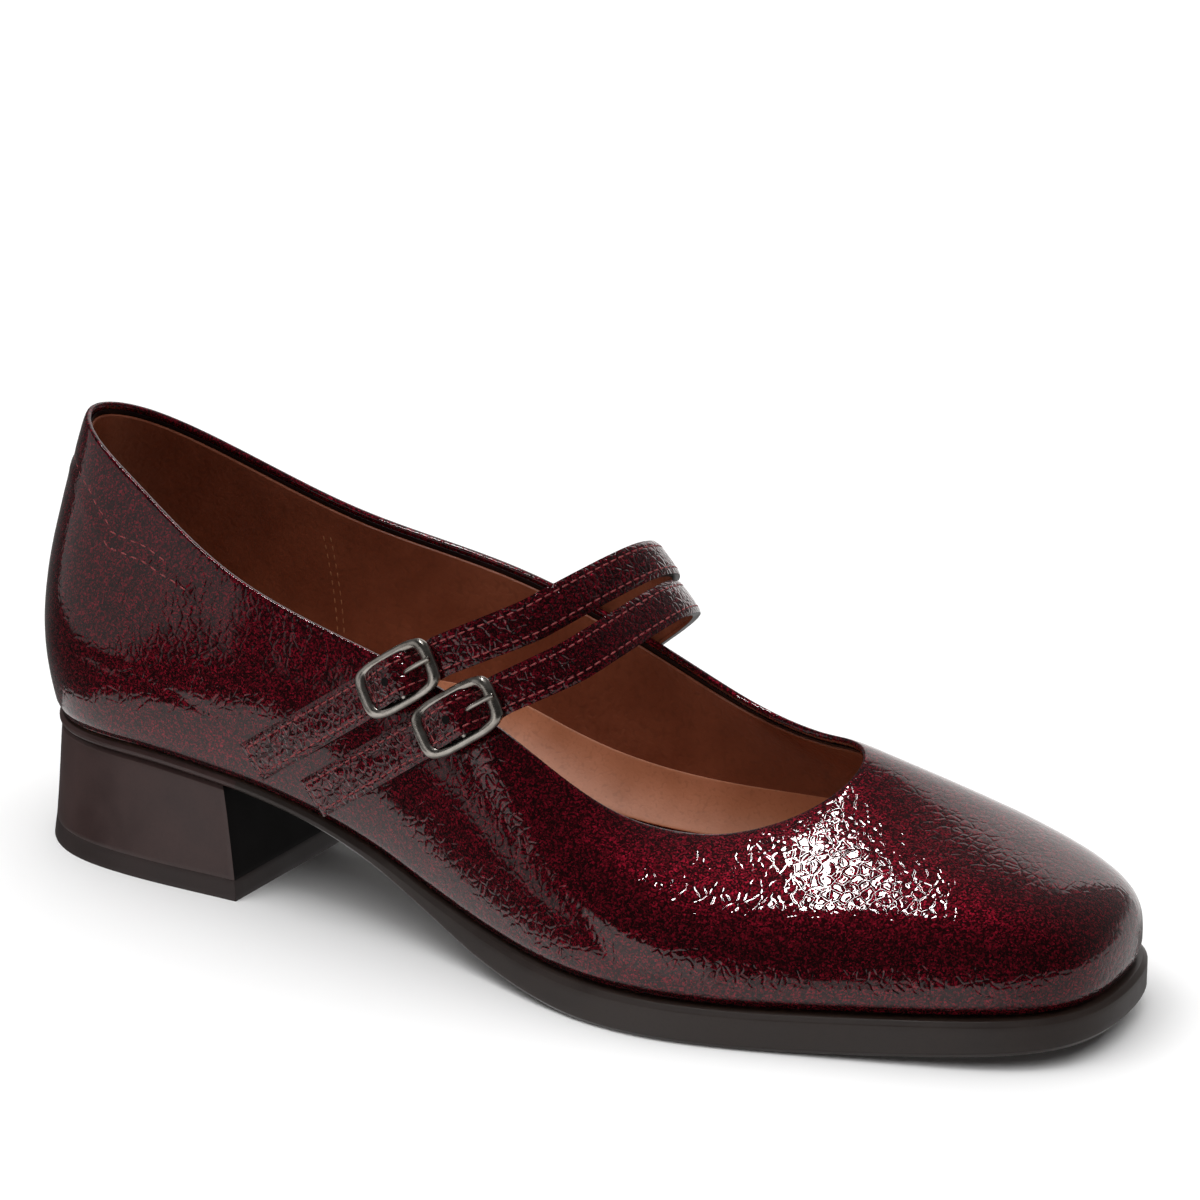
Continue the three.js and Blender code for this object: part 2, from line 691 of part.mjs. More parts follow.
// The tab runs from the centre bar down the outer wall, and ends over the sole
function makeTab(place) {
  const rowCount = 8;
  const reach = centreBar / 2;
  const end = lastWhere(0, -lastLength / 2, (distance) => {
    const { x, z } = outerLine(place, distance);
    return z - lastBottom(x) > tabFoot * place.foot;
  });
  const pairs = Array.from({ length: rowCount + 1 }, (_, i) => {
    const { x, z } = outerLine(place, mix(end, reach, i / rowCount));
    return wallBand(-1, x, z, outerSlant, strapWidth, tabStand);
  });
  return band(pairs, tabThickness, 1);
}

// The frame is a round bar bent into a rounded oblong, with a thinner bar across its
// middle, which the tab holds and the prong turns on.
function makeBuckle(frame) {
  const halfLength = (buckleLength - barThickness) / 2;
  const halfWidth = (buckleInnerWidth + sideThickness) / 2;
  const cornerCount = 28;
  const sideCount = 8;
  const power = 2 / cornerPower;
  const shaped = (value) => Math.sign(value) * Math.abs(value) ** power;
  const middle = (i) => {
    const turn = (2 * Math.PI * (i + 0.5)) / cornerCount;
    return new THREE.Vector2(halfLength * shaped(Math.cos(turn)), halfWidth * shaped(Math.sin(turn)));
  };
  const points = [];
  const triangles = [];
  for (let i = 0; i < cornerCount; i++) {
    const run = middle(i + 1).sub(middle(i - 1)).normalize();
    const centre = middle(i);
    const thickness = mix(sideThickness, barThickness, Math.abs(run.y));
    for (let k = 0; k < sideCount; k++) {
      const turn = (2 * Math.PI * k) / sideCount;
      const out = (Math.cos(turn) * thickness) / 2;
      const up = (Math.sin(turn) * thickness) / 2;
      points.push(inFrame(frame, centre.x + run.y * out, centre.y - run.x * out, up));
      const next = (i + 1) % cornerCount;
      const l = (k + 1) % sideCount;
      const here = i * sideCount;
      const there = next * sideCount;
      triangles.push(...quad(here + k, there + k, there + l, here + l));
    }
  }
  const bar = [];
  for (const end of [-halfWidth, halfWidth]) {
    for (let k = 0; k < sideCount; k++) {
      const turn = (2 * Math.PI * k) / sideCount;
      bar.push(inFrame(frame, (Math.cos(turn) * centreBar) / 2, end, (Math.sin(turn) * centreBar) / 2));
    }
  }
  return joined(solid(points, triangles), tube(bar, sideCount), "add");
}

// The prong leaves the centre bar, comes up through the strap and lies on the end bar
function prongSolid(frame, thickness, reach) {
  const endBar = (buckleLength - barThickness) / 2;
  const rest = barThickness / 2 + fitGap + prongThickness / 2;
  const start = centreBar / 2 + fitGap + prongThickness / 2;
  const path = new THREE.CatmullRomCurve3(prongFolds.map((fold) => {
    return vec(mix(start, endBar, fold.along) + (fold.past * barThickness) / 2, 0, rest * fold.lift);
  }));
  const rowCount = 8;
  const sideCount = 6;
  const points = [];
  for (let i = 0; i <= rowCount; i++) {
    const share = (reach * i) / rowCount;
    const at = path.getPoint(share);
    const run = path.getTangent(share);
    for (let k = 0; k < sideCount; k++) {
      const turn = (2 * Math.PI * k) / sideCount;
      const across = (Math.cos(turn) * thickness) / 2;
      const up = (Math.sin(turn) * thickness) / 2;
      points.push(inFrame(frame, at.x - run.z * up, across, at.z + run.x * up));
    }
  }
  return tube(points, sideCount);
}

// The strap: its tip and its wave through the buckle, its arch over the instep, and its
// run down the inner wall to a square end.
function makeStrap(place, frame) {
  const endBar = (buckleLength - barThickness) / 2;
  const over = centreBar / 2 + fitGap + strapThickness / 2;
  const under = -(barThickness / 2 + fitGap + strapThickness / 2);
  const tip = endBar - barThickness / 2 - 2 * fitGap;
  const tipOut = tabStand + tabThickness / 2 + fitGap + strapThickness / 2 - frameStand;
  const wave = [
    ...tipFolds.map(({ run, rise, width }) => ({ run: run * tip, out: mix(tipOut, over, rise), width })),
    ...slotFolds.map(({ run, dip }) => ({ run: run * tip, out: mix(over, under, dip), width: 1 })),
    { run: endBar + barThickness, out: under, width: 1 },
  ];
  const pairs = wave.map(({ run, out, width }) => {
    const half = (width * strapTailWidth) / 2;
    return [-half, half].map((edge) => inFrame(frame, run, edge, out));
  });
  const innerBand = (distance) => {
    const { x, z } = innerLine(place, -distance);
    return wallBand(1, x, z, innerSlant, strapEndWidth, strapStand);
  };
  const inner = innerBand(0);
  const innerPoint = inner[0].clone().add(inner[1]).multiplyScalar(0.5);
  for (const fold of archFolds) {
    const centre = frame.centre.clone().lerp(innerPoint, fold.across);
    centre.x += fold.forward * strapReach * place.reach;
    centre.z += fold.rise * strapArch * place.arch;
    const slant = mix(outerSlant, innerSlant, fold.across);
    const width = mix(strapWidth, strapEndWidth, fold.across);
    pairs.push([-1, 1].map((edge) => {
      const shift = (edge * width) / 2;
      return vec(centre.x + shift * Math.sin(slant), centre.y, centre.z - shift * Math.cos(slant));
    }));
  }
  const rowCount = 3;
  for (let i = 0; i <= rowCount; i++) pairs.push(innerBand((strapEndLength * i) / rowCount));
  const hole = prongSolid(frame, prongThickness + 2 * prongPlay, holeReach);
  return joined(band(pairs, strapThickness, 2), hole, "subtract");
}

// Joins or cuts two closed solids
function joined(first, second, way) {
  const body = (geometry) => {
    const vertProperties = geometry.getAttribute("position").array;
    const triVerts = new Uint32Array(geometry.getIndex().array);
    return new wasm.Manifold(new wasm.Mesh({ numProp: 3, vertProperties, triVerts }));
  };
  const mesh = body(first)[way](body(second)).getMesh();
  const geometry = new THREE.BufferGeometry();
  geometry.setAttribute("position", new THREE.Float32BufferAttribute(mesh.vertProperties, 3));
  geometry.setIndex(Array.from(mesh.triVerts));
  return geometry;
}

const shoe = new THREE.Group();
function add(name, geometry, material) {
  const mesh = new THREE.Mesh(geometry, material);
  mesh.name = name;
  shoe.add(mesh);
}

add("upper", makeUpper(), patent);
add("outsole", makeOutsole(), soleBrown);
add("insole", makeInsole(), lining);
add("heel_block", makeHeelBlock(), heelBrown);
add("heel_lift", makeHeelLift(), heelBrown);
for (const place of strapPlaces) {
  const frame = buckleFrame(place);
  add(`strap_${place.name}`, makeStrap(place, frame), patent);
  add(`tab_${place.name}`, makeTab(place), patent);
  add(`buckle_${place.name}`, makeBuckle(frame), nickel);
  add(`prong_${place.name}`, prongSolid(frame, prongThickness, 1), nickel);
}

export default shoe;
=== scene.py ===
# %% [markdown]
# A mary jane pump in burgundy patent leather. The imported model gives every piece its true
# size and place. This notebook dresses it: the upper gets its folded topline, its lining
# and its crinkled patent finish, the straps get their edges, holes and stitches, and the
# sole and heel their satin brown. Lengths are written in millimetres and turned to
# metres by MM, the unit of the frame.

# %% The frame
import math
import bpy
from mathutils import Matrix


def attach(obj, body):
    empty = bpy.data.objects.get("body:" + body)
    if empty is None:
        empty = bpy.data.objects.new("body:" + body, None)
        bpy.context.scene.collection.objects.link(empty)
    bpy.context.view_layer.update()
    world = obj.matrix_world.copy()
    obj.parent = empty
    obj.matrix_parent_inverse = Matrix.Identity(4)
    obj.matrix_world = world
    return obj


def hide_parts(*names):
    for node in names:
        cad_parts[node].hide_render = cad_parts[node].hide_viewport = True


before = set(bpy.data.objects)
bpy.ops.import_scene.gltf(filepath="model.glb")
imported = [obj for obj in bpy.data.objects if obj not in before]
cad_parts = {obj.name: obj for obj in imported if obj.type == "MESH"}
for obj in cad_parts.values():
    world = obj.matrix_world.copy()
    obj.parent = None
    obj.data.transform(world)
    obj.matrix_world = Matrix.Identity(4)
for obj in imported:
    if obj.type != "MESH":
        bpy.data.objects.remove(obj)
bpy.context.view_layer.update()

from types import SimpleNamespace

import bmesh
import bpy
import numpy as np
from mathutils import Matrix, Vector, noise
from mathutils.bvhtree import BVHTree

MM = 0.001
print("pieces in the frame:", sorted(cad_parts))

# %% [markdown]
# The camera comes first. It stands a little over a metre away with a long lens, 20
# degrees above the floor, looking at the outer side of the shoe with the toe to the
# right. A long lens keeps the lines of the sole nearly parallel, as in a catalogue
# picture.

# %% Camera
AZIMUTH = math.radians(31.5)
ELEVATION = math.radians(19.7)
DISTANCE = 1.1
LOOK_AT = Vector((0.102286, 0.0, 0.073619))
LENS = 158.33

toward_camera = Vector((
    math.sin(AZIMUTH) * math.cos(ELEVATION),
    -math.cos(AZIMUTH) * math.cos(ELEVATION),
    math.sin(ELEVATION),
))
camera = bpy.data.objects.new("camera", bpy.data.cameras.new("camera"))
camera.data.lens = LENS
camera.data.sensor_width = 36
camera.location = LOOK_AT + DISTANCE * toward_camera
camera.rotation_mode = "QUATERNION"
camera.rotation_quaternion = (-toward_camera).to_track_quat("-Z", "Y")
bpy.context.scene.collection.objects.link(camera)
bpy.context.scene.camera = camera
print("camera at", [round(v, 3) for v in camera.location])

# %% [markdown]
# Patent leather is leather under a thick clear film. Two things make it: the film's
# sharp reflections, which the crinkled grain breaks into small bright worms, and the
# dark red ground with fine metallic flakes below. The crinkle is used by the upper, the
# straps and the tabs, so it is a node group with named inputs. It gives a height for the
# bump, a mask for the flakes and a mask for the shade painted into the creases. The
# shader stays in each material.

# %% Helpers for node groups
def new_group(name, inputs, outputs):
    group = bpy.data.node_groups.new(name, "ShaderNodeTree")
    for label, value in inputs.items():
        socket = group.interface.new_socket(label, in_out="INPUT", socket_type="NodeSocketFloat")
        socket.default_value = value
    for label in outputs:
        group.interface.new_socket(label, in_out="OUTPUT", socket_type="NodeSocketFloat")
    return group


class Wires:
    """Short ways to add and join nodes of one tree."""

    def __init__(self, tree):
        self.tree = tree

    def node(self, kind, **settings):
        made = self.tree.nodes.new(kind)
        for key, value in settings.items():
            setattr(made, key, value)
        return made

    def put(self, socket, value):
        if isinstance(value, bpy.types.NodeSocket):
            self.tree.links.new(value, socket)
        else:
            socket.default_value = value

    def math(self, operation, *values):
        made = self.node("ShaderNodeMath", operation=operation)
        for socket, value in zip(made.inputs, values):
            self.put(socket, value)
        return made.outputs[0]

    def inverse(self, value):
        return self.math("SUBTRACT", 1.0, value)

    def place(self):
        return self.node("ShaderNodeTexCoord").outputs["Object"]

    def parts(self, value, kind="ShaderNodeSeparateXYZ"):
        made = self.node(kind)
        self.put(made.inputs[0], value)
        return made.outputs

    def vector(self, operation, first, second):
        made = self.node("ShaderNodeVectorMath", operation=operation)
        self.put(made.inputs[0], first)
        if operation == "SCALE":
            self.put(made.inputs["Scale"], second)
        else:
            self.put(made.inputs[1], second)
        return made.outputs[0]

    def noise(self, vector, per_metre, detail=2.0, rough=0.5, output="Fac"):
        made = self.node("ShaderNodeTexNoise", noise_dimensions="3D")
        self.put(made.inputs["Vector"], vector)
        self.put(made.inputs["Scale"], per_metre)
        made.inputs["Detail"].default_value = detail
        made.inputs["Roughness"].default_value = rough
        return made.outputs[output]

    def cells(self, vector, per_metre, feature="F1", output="Distance"):
        made = self.node("ShaderNodeTexVoronoi", voronoi_dimensions="3D", feature=feature)
        self.put(made.inputs["Vector"], vector)
        self.put(made.inputs["Scale"], per_metre)
        return made.outputs[output]

    def ramp(self, value, low, high):
        made = self.node("ShaderNodeMapRange", clamp=True, interpolation_type="SMOOTHSTEP")
        self.put(made.inputs["Value"], value)
        self.put(made.inputs["From Min"], low)
        self.put(made.inputs["From Max"], high)
        return made.outputs["Result"]

    def blend(self, share, first, second):
        made = self.node("ShaderNodeMix", data_type="RGBA")
        self.put(made.inputs[0], share)
        self.put(made.inputs[6], first)
        self.put(made.inputs[7], second)
        return made.outputs[2]


def warped(wires, per_metre, amount):
    """Object coordinates pushed about by a noise, so that no cell has straight sides."""
    place = wires.place()
    push = wires.noise(place, per_metre, detail=1.0, output="Color")
    centred = wires.vector("SUBTRACT", push, (0.5, 0.5, 0.5))
    scaled = wires.vector("SCALE", centred, amount)
    return wires.vector("ADD", place, scaled)


# %% [markdown]
# The crinkle is a net of low domes, divided by creases, with finer waves over it. It is
# lively in some places and calm in others, and calmer at the heel than at the toe.
# "Even" takes that last difference away, for the straps and tabs. The flakes are cells
# of their own, most of them dull and a few bright, in loose clumps.

# %% The crinkle group
QUIET_HEEL, LIVELY_TOE = 55 * MM, 125 * MM
QUIET_DEPTH = 0.45


def make_crinkle():
    group = new_group(
        "crinkle",
        {"Cells per metre": 430.0, "Flakes per metre": 3000.0, "Even": 0.0},
        ["Height", "Flakes", "Crease shade"],
    )
    wires = Wires(group)
    given = wires.node("NodeGroupInput")
    result = wires.node("NodeGroupOutput")
    cells = given.outputs["Cells per metre"]
    place = warped(wires, 260.0, 2.2 * MM)
    big = wires.cells(place, cells, feature="DISTANCE_TO_EDGE")
    fine = wires.noise(place, wires.math("MULTIPLY", cells, 1.3), detail=1.0)
    lively = wires.ramp(wires.noise(place, 45.0, detail=1.0), 0.35, 0.65)
    flank = wires.inverse(wires.ramp(big, 0.0, 0.30))
    dome = wires.inverse(wires.math("POWER", flank, 2.0))
    pebbles = wires.math("MULTIPLY", dome, wires.math("MULTIPLY_ADD", lively, 0.42, 0.22))
    height = wires.math("ADD", pebbles, wires.math("MULTIPLY", fine, 0.50))
    still = wires.place()
    forward = wires.ramp(wires.parts(still)["X"], QUIET_HEEL, LIVELY_TOE)
    quiet = wires.math("MULTIPLY_ADD", forward, 1 - QUIET_DEPTH, QUIET_DEPTH)
    depth = wires.math("MAXIMUM", quiet, given.outputs["Even"])
    wires.put(result.inputs["Height"], wires.math("MULTIPLY", height, depth))
    # painted shade: this mask darkens the colour along the creases, where shade falls
    wires.put(result.inputs["Crease shade"], wires.inverse(wires.ramp(big, 0.0, 0.09)))
    lot = wires.cells(still, given.outputs["Flakes per metre"], output="Color")
    chosen = wires.math("POWER", wires.parts(lot, "ShaderNodeSeparateColor")[0], 3.0)
    clumps = wires.math("MULTIPLY_ADD", wires.noise(still, 500.0), 0.9, 0.15)
    wires.put(result.inputs["Flakes"], wires.math("MULTIPLY", chosen, clumps))
    return group


crinkle = make_crinkle()
print("group", crinkle.name, [item.name for item in crinkle.interface.items_tree])

# %% [markdown]
# The lining, the insole and the satin rubber all have a fine grain, only of different
# sizes. One more group makes it: small rounded pebbles with a slower mottle over them,
# which shades the colour and the gloss.

# %% The grain group
def make_grain():
    group = new_group(
        "fine grain",
        {"Grains per metre": 1500.0, "Mottle per metre": 60.0},
        ["Height", "Mottle", "Pores"],
    )
    wires = Wires(group)
    given = wires.node("NodeGroupInput")
    result = wires.node("NodeGroupOutput")
    place = warped(wires, 500.0, 1.2 * MM)
    grains = given.outputs["Grains per metre"]
    pebble = wires.cells(place, grains, feature="SMOOTH_F1")
    wrinkle = wires.noise(place, wires.math("MULTIPLY", grains, 0.6), detail=3.0)
    height = wires.math("SUBTRACT", wrinkle, wires.math("MULTIPLY", pebble, 0.6))
    wires.put(result.inputs["Height"], height)
    wires.put(result.inputs["Pores"], wires.ramp(pebble, 0.45, 0.75))
    mottle = wires.noise(place, given.outputs["Mottle per metre"], detail=4.0, rough=0.6)
    wires.put(result.inputs["Mottle"], wires.ramp(mottle, 0.3, 0.7))
    return group


fine_grain = make_grain()
print("group", fine_grain.name)

# %% [markdown]
# Every material starts from the plain shader. A group is used with its inputs named, and
# its height goes through a bump whose depth is given in millimetres.

# %% Helpers for materials
def new_material(name):
    material = bpy.data.materials.new(name)
    material.use_nodes = True
    wires = Wires(material.node_tree)
    shader = material.node_tree.nodes["Principled BSDF"]
    return material, wires, shader


def use_group(wires, group, **values):
    made = wires.node("ShaderNodeGroup", node_tree=group)
    for key, value in values.items():
        made.inputs[key.replace("_", " ")].default_value = value
    return made


def bump(wires, height, depth_mm):
    made = wires.node("ShaderNodeBump")
    made.inputs["Strength"].default_value = 1.0
    made.inputs["Distance"].default_value = depth_mm * MM
    wires.put(made.inputs["Height"], height)
    return made.outputs["Normal"]


# %% [markdown]
# The patent leather's red is two colours: a ground that is almost black, and flakes of
# bright red that also carry a little metal, so they glow where a lamp is near. Along the
# creases a still darker red is painted in as painted shade. The clear film is the
# shader's coat, and the same crinkle bends both.

# %% Patent leather
FLAKE_RED = (0.41, 0.0078, 0.031, 1)
GROUND_RED = (0.014, 0.0004, 0.0012, 1)
# painted shade: the darker red laid along the creases
CREASE_SHADE_RED = (0.006, 0.0004, 0.001, 1)


def patent_leather(name, cells_per_metre, depth_mm, even=0.0):
    material, wires, shader = new_material(name)
    grain = use_group(wires, crinkle, Cells_per_metre=cells_per_metre, Even=even)
    ground = wires.blend(grain.outputs["Flakes"], GROUND_RED, FLAKE_RED)
    # painted shade: the colour is darkened along the creases
    creases = wires.math("MULTIPLY", grain.outputs["Crease shade"], 0.45)
    wires.put(shader.inputs["Base Color"], wires.blend(creases, ground, CREASE_SHADE_RED))
    metallic = wires.math("MULTIPLY_ADD", grain.outputs["Flakes"], 0.2, 0.7)
    wires.put(shader.inputs["Metallic"], metallic)
    for label, value in (("Roughness", 0.45), ("Specular IOR Level", 0.0), ("Coat Weight", 1.0),
                         ("Coat Roughness", 0.035), ("Coat IOR", 1.5)):
        shader.inputs[label].default_value = value
    surface = bump(wires, grain.outputs["Height"], depth_mm)
    wires.put(shader.inputs["Normal"], surface)
    wires.put(shader.inputs["Coat Normal"], surface)
    return material


patent = patent_leather("crinkled_patent", 440.0, 0.062)
strap_patent = patent_leather("strap_patent", 520.0, 0.24, even=1.0)
print("patent leather:", patent.name, strap_patent.name)


# %% [markdown]
# The plain materials differ only in numbers: a dark and a light colour, the roughness,
# the number of grains to a metre and the depth of the grain in millimetres.

# %% Plain leathers, paint and thread
def grained(name, dark, light, roughness, grains, depth_mm, mottle_per_metre=60.0, specular=0.5):
    material, wires, shader = new_material(name)
    grain = use_group(wires, fine_grain, Grains_per_metre=grains, Mottle_per_metre=mottle_per_metre)
    colour = wires.blend(grain.outputs["Mottle"], (*dark, 1), (*light, 1))
    pores = wires.math("MULTIPLY", grain.outputs["Pores"], 0.25)
    wires.put(shader.inputs["Base Color"], wires.blend(pores, colour, (*(0.5 * v for v in dark), 1)))
    rough = wires.math("MULTIPLY_ADD", grain.outputs["Mottle"], 0.10, roughness - 0.05)
    wires.put(shader.inputs["Roughness"], rough)
    shader.inputs["Specular IOR Level"].default_value = specular
    wires.put(shader.inputs["Normal"], bump(wires, grain.outputs["Height"], depth_mm))
    return material


lining_leather = grained(
    "lining_leather", (0.145, 0.036, 0.016), (0.20, 0.056, 0.026), 0.36, 1000.0, 0.16)
sock_leather = grained("sock_leather", (0.42, 0.16, 0.080), (0.54, 0.22, 0.12), 0.42, 1500.0, 0.04)
# edge paint of the bands' cut edges, also laid as painted shade under the facing
edge_paint_and_shade = grained(
    "edge_paint_and_shade", (0.004, 0.002, 0.002), (0.008, 0.003, 0.003), 0.42, 900.0, 0.02, specular=0.18)
sole_rubber = grained(
    "sole_rubber", (0.018, 0.011, 0.009), (0.026, 0.017, 0.014), 0.46, 2600.0, 0.008, 90.0)
heel_cover = grained(
    "heel_cover", (0.030, 0.013, 0.012), (0.042, 0.019, 0.017), 0.38, 2200.0, 0.006, 70.0)
lift_rubber = grained(
    "lift_rubber", (0.016, 0.008, 0.007), (0.024, 0.013, 0.012), 0.50, 2400.0, 0.012)
# near-black painted shade for the heel's front face and the middles of the spare holes
painted_shade_black = grained(
    "painted_shade_black", (0.003, 0.002, 0.002), (0.005, 0.004, 0.004), 0.62, 2200.0, 0.006, 70.0, 0.1)
red_thread = grained(
    "red_thread", (0.17, 0.022, 0.026), (0.30, 0.045, 0.046), 0.45, 3000.0, 0.03, 900.0)
tan_thread = grained("tan_thread", (0.26, 0.10, 0.045), (0.38, 0.17, 0.08), 0.50, 3000.0, 0.03, 900.0)


def brushed_metal(name):
    material, wires, shader = new_material(name)
    grain = use_group(wires, fine_grain, Grains_per_metre=5200.0, Mottle_per_metre=380.0)
    colour = wires.blend(grain.outputs["Mottle"], (0.36, 0.335, 0.30, 1), (0.52, 0.49, 0.45, 1))
    wires.put(shader.inputs["Base Color"], colour)
    wires.put(shader.inputs["Roughness"], wires.math("MULTIPLY_ADD", grain.outputs["Mottle"], 0.10, 0.24))
    shader.inputs["Metallic"].default_value = 1.0
    wires.put(shader.inputs["Normal"], bump(wires, grain.outputs["Height"], 0.006))
    return material


nickel = brushed_metal("old_nickel")
print("materials:", [m.name for m in bpy.data.materials if m.use_nodes][-12:])

# %% [markdown]
# Each piece starts from its node in the frame, where one is right. The copy's loose
# triangles are merged first. The upper was packed as a regular net of triangles: every
# point has six edges, so walking straight on over a point finds whole loops. The loops
# that run slantwise are the triangles' diagonals. Dissolving them leaves a clean net of
# four-sided faces, which a subdivision surface needs to come out smooth.

# %% Helpers for pieces
def cad_copy(node):
    form = bmesh.new()
    form.from_mesh(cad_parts[node].data)
    for layer in list(form.loops.layers.uv):
        form.loops.layers.uv.remove(layer)
    bmesh.ops.remove_doubles(form, verts=form.verts, dist=0.004 * MM)
    return form


def squared(form):
    """Joins pairs of triangles of a merged copy into four-sided faces."""
    turn = math.radians(60)
    bmesh.ops.join_triangles(form, faces=form.faces, angle_face_threshold=turn, angle_shape_threshold=turn)
    return form


def bevelled(form, edges, width_mm, segments, material=-1):
    bmesh.ops.bevel(
        form, geom=edges, offset=width_mm * MM, offset_type="OFFSET", segments=segments,
        profile=0.5, affect="EDGES", material=material, clamp_overlap=True,
    )


def add_form(whole, part):
    """Adds one bmesh to another and frees it."""
    spare = bpy.data.meshes.new("spare")
    part.to_mesh(spare)
    part.free()
    whole.from_mesh(spare)
    bpy.data.meshes.remove(spare)


def placed(name, mesh, materials):
    for material in materials:
        mesh.materials.append(material)
    mesh.shade_smooth()
    piece = bpy.data.objects.new(name, mesh)
    bpy.context.scene.collection.objects.link(piece)
    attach(piece, "root")
    return piece


def new_piece(name, form, materials, nodes=()):
    mesh = bpy.data.meshes.new(name)
    form.to_mesh(mesh)
    form.free()
    piece = placed(name, mesh, materials)
    if nodes:
        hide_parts(*nodes)
    print(f"{name}: {len(mesh.polygons)} faces")
    return piece


def smooth_modifier(piece, levels):
    modifier = piece.modifiers.new("smooth", "SUBSURF")
    modifier.levels = levels
    modifier.render_levels = levels


def rounded_edges(piece, width_mm):
    modifier = piece.modifiers.new("rounded edges", "BEVEL")
    modifier.width = width_mm * MM
    modifier.segments = 3
    modifier.limit_method = "ANGLE"
    modifier.angle_limit = math.radians(28)
    modifier.harden_normals = True


def finished(piece):
    """Applies a piece's modifiers, so that later cells can shape the fine mesh."""
    graph = bpy.context.evaluated_depsgraph_get()
    mesh = bpy.data.meshes.new_from_object(piece.evaluated_get(graph))
    piece.modifiers.clear()
    old = piece.data
    piece.data = mesh
    bpy.data.meshes.remove(old)
    mesh.name = piece.name
    mesh.shade_smooth()


def smoothstep(value, low, high):
    t = min(max((value - low) / (high - low), 0.0), 1.0)
    return t * t * (3 - 2 * t)


# %% [markdown]
# The slantwise loops are the longest ones, because they wind round the shoe.

# %% The upper's net
def straight_on(edge, corner):
    face = edge.link_faces[0]
    for _ in range(3):
        edge = next(e for e in face.edges if e is not edge and corner in e.verts)
        face = next(f for f in edge.link_faces if f is not face)
    return edge


def whole_loop(start):
    loop = [start]
    corner = start.verts[1]
    edge = straight_on(start, corner)
    while edge is not start:
        loop.append(edge)
        corner = edge.other_vert(corner)
        edge = straight_on(edge, corner)
    return loop


def squared_net(form):
    """Dissolves the slantwise loops, the longest ones, of a closed net of triangles."""
    seen = set()
    loops = []
    for edge in form.edges:
        if edge.index not in seen:
            loop = whole_loop(edge)
            seen.update(e.index for e in loop)
            loops.append(loop)
    longest = max(len(loop) for loop in loops)
    slanted = [e for loop in loops if len(loop) == longest for e in loop]
    bmesh.ops.dissolve_edges(form, edges=slanted, use_verts=False, use_face_split=False)
    return form


upper_form = cad_copy("upper")
below_rim = upper_form.verts.layers.float.new("below_rim")
upper_form.edges.index_update()
squared_net(upper_form)
print("upper net:", len(upper_form.verts), "points,", len(upper_form.faces), "faces, sides",
      {len(f.verts) for f in upper_form.faces})

# %% [markdown]
# The net has two kinds of loops: rings that run round the shoe, and hoops that run up
# the outer wall, over the rim and down the inner wall. The rings are sorted along one
# hoop. The rim is the highest of them on average. From it the rows are counted down
# the outer wall and down the inner wall.

# %% The upper's rings
def next_in_hoop(edge, corner):
    """Straight on over a point where four edges meet."""
    near = set(edge.link_faces)
    return next(e for e in corner.link_edges if e is not edge and not near & set(e.link_faces))


def loop_points(start):
    points = [start.verts[0]]
    corner = start.verts[1]
    edge = start
    while corner is not points[0]:
        points.append(corner)
        edge = next_in_hoop(edge, corner)
        corner = edge.other_vert(corner)
    return points


def sorted_rings(form):
    form.verts.ensure_lookup_table()
    start = form.verts[0]
    loops = sorted((loop_points(edge) for edge in start.link_edges), key=len)
    hoop, ring_length = loops[0], len(loops[-1])
    rings = []
    for corner in hoop:
        crossing = (loop_points(edge) for edge in corner.link_edges)
        rings.append(next(points for points in crossing if len(points) == ring_length))
    mean = [sum(v.co.z for v in ring) / len(ring) for ring in rings]
    top = mean.index(max(mean))
    rings = rings[top:] + rings[:top]
    reach = [max(v.co.x for v in ring) for ring in (rings[3], rings[-3])]
    if reach[0] < reach[1]:
        rings = rings[:1] + rings[:0:-1]
    return rings


rings = sorted_rings(upper_form)
WALL_ROWS = (len(rings) - 1) // 2
print("rings:", len(rings), "points round:", len(rings[0]), "rows of wall:", WALL_ROWS)

# %% [markdown]
# Two values are stored on the net's points for the relief that is pressed in later: how
# far below the rim a point lies, measured along the wall, and on which side of the wall
# it is. The rim's two edges are then bevelled, so that the subdivision keeps the tight
# turn of a folded leather edge.

# %% The upper
def paired_columns(rings):
    """The same rings with their points in step, each under the one of the ring before."""
    stepped = [rings[0]]
    for ring in rings[1:]:
        by_point = {v: i for i, v in enumerate(ring)}
        before = stepped[-1]

        def below(v):
            return next(e.other_vert(v) for e in v.link_edges if e.other_vert(v) in by_point)

        start = by_point[below(before[0])]
        step = 1 if by_point[below(before[1])] == (start + 1) % len(ring) else -1
        stepped.append([ring[(start + step * i) % len(ring)] for i in range(len(ring))])
    return stepped


rings = paired_columns(rings)
outer_rings = rings[1:WALL_ROWS + 1]
inner_rings = rings[:WALL_ROWS:-1]
for side, side_rings in ((1, outer_rings), (-1, inner_rings)):
    for column in range(len(rings[0])):
        depth = 0.0
        last = rings[0][column].co
        for ring in side_rings:
            depth += (ring[column].co - last).length
            last = ring[column].co
            ring[column][below_rim] = side * depth / MM

INNER_POINTS = [[v.co.copy() for v in ring] for ring in inner_rings]
OUTER_POINTS = [[v.co.copy() for v in ring] for ring in outer_rings]
rim_edges = [
    e for ring in (outer_rings[0], inner_rings[0])
    for e in {e for v in ring for e in v.link_edges if e.other_vert(v) in set(ring)}
]
bevelled(upper_form, rim_edges, 0.5, 2)
bottom_edges = [
    e for e in upper_form.edges
    if abs(e.calc_face_angle(0)) > math.radians(55) and max(v.co.z for v in e.verts) < 34 * MM
]
bevelled(upper_form, bottom_edges, 0.35, 1)
upper = new_piece("upper_leather", upper_form, [patent], ["upper"])
smooth_modifier(upper, 2)
finished(upper)
print("upper after smoothing:", len(upper.data.polygons), "faces")

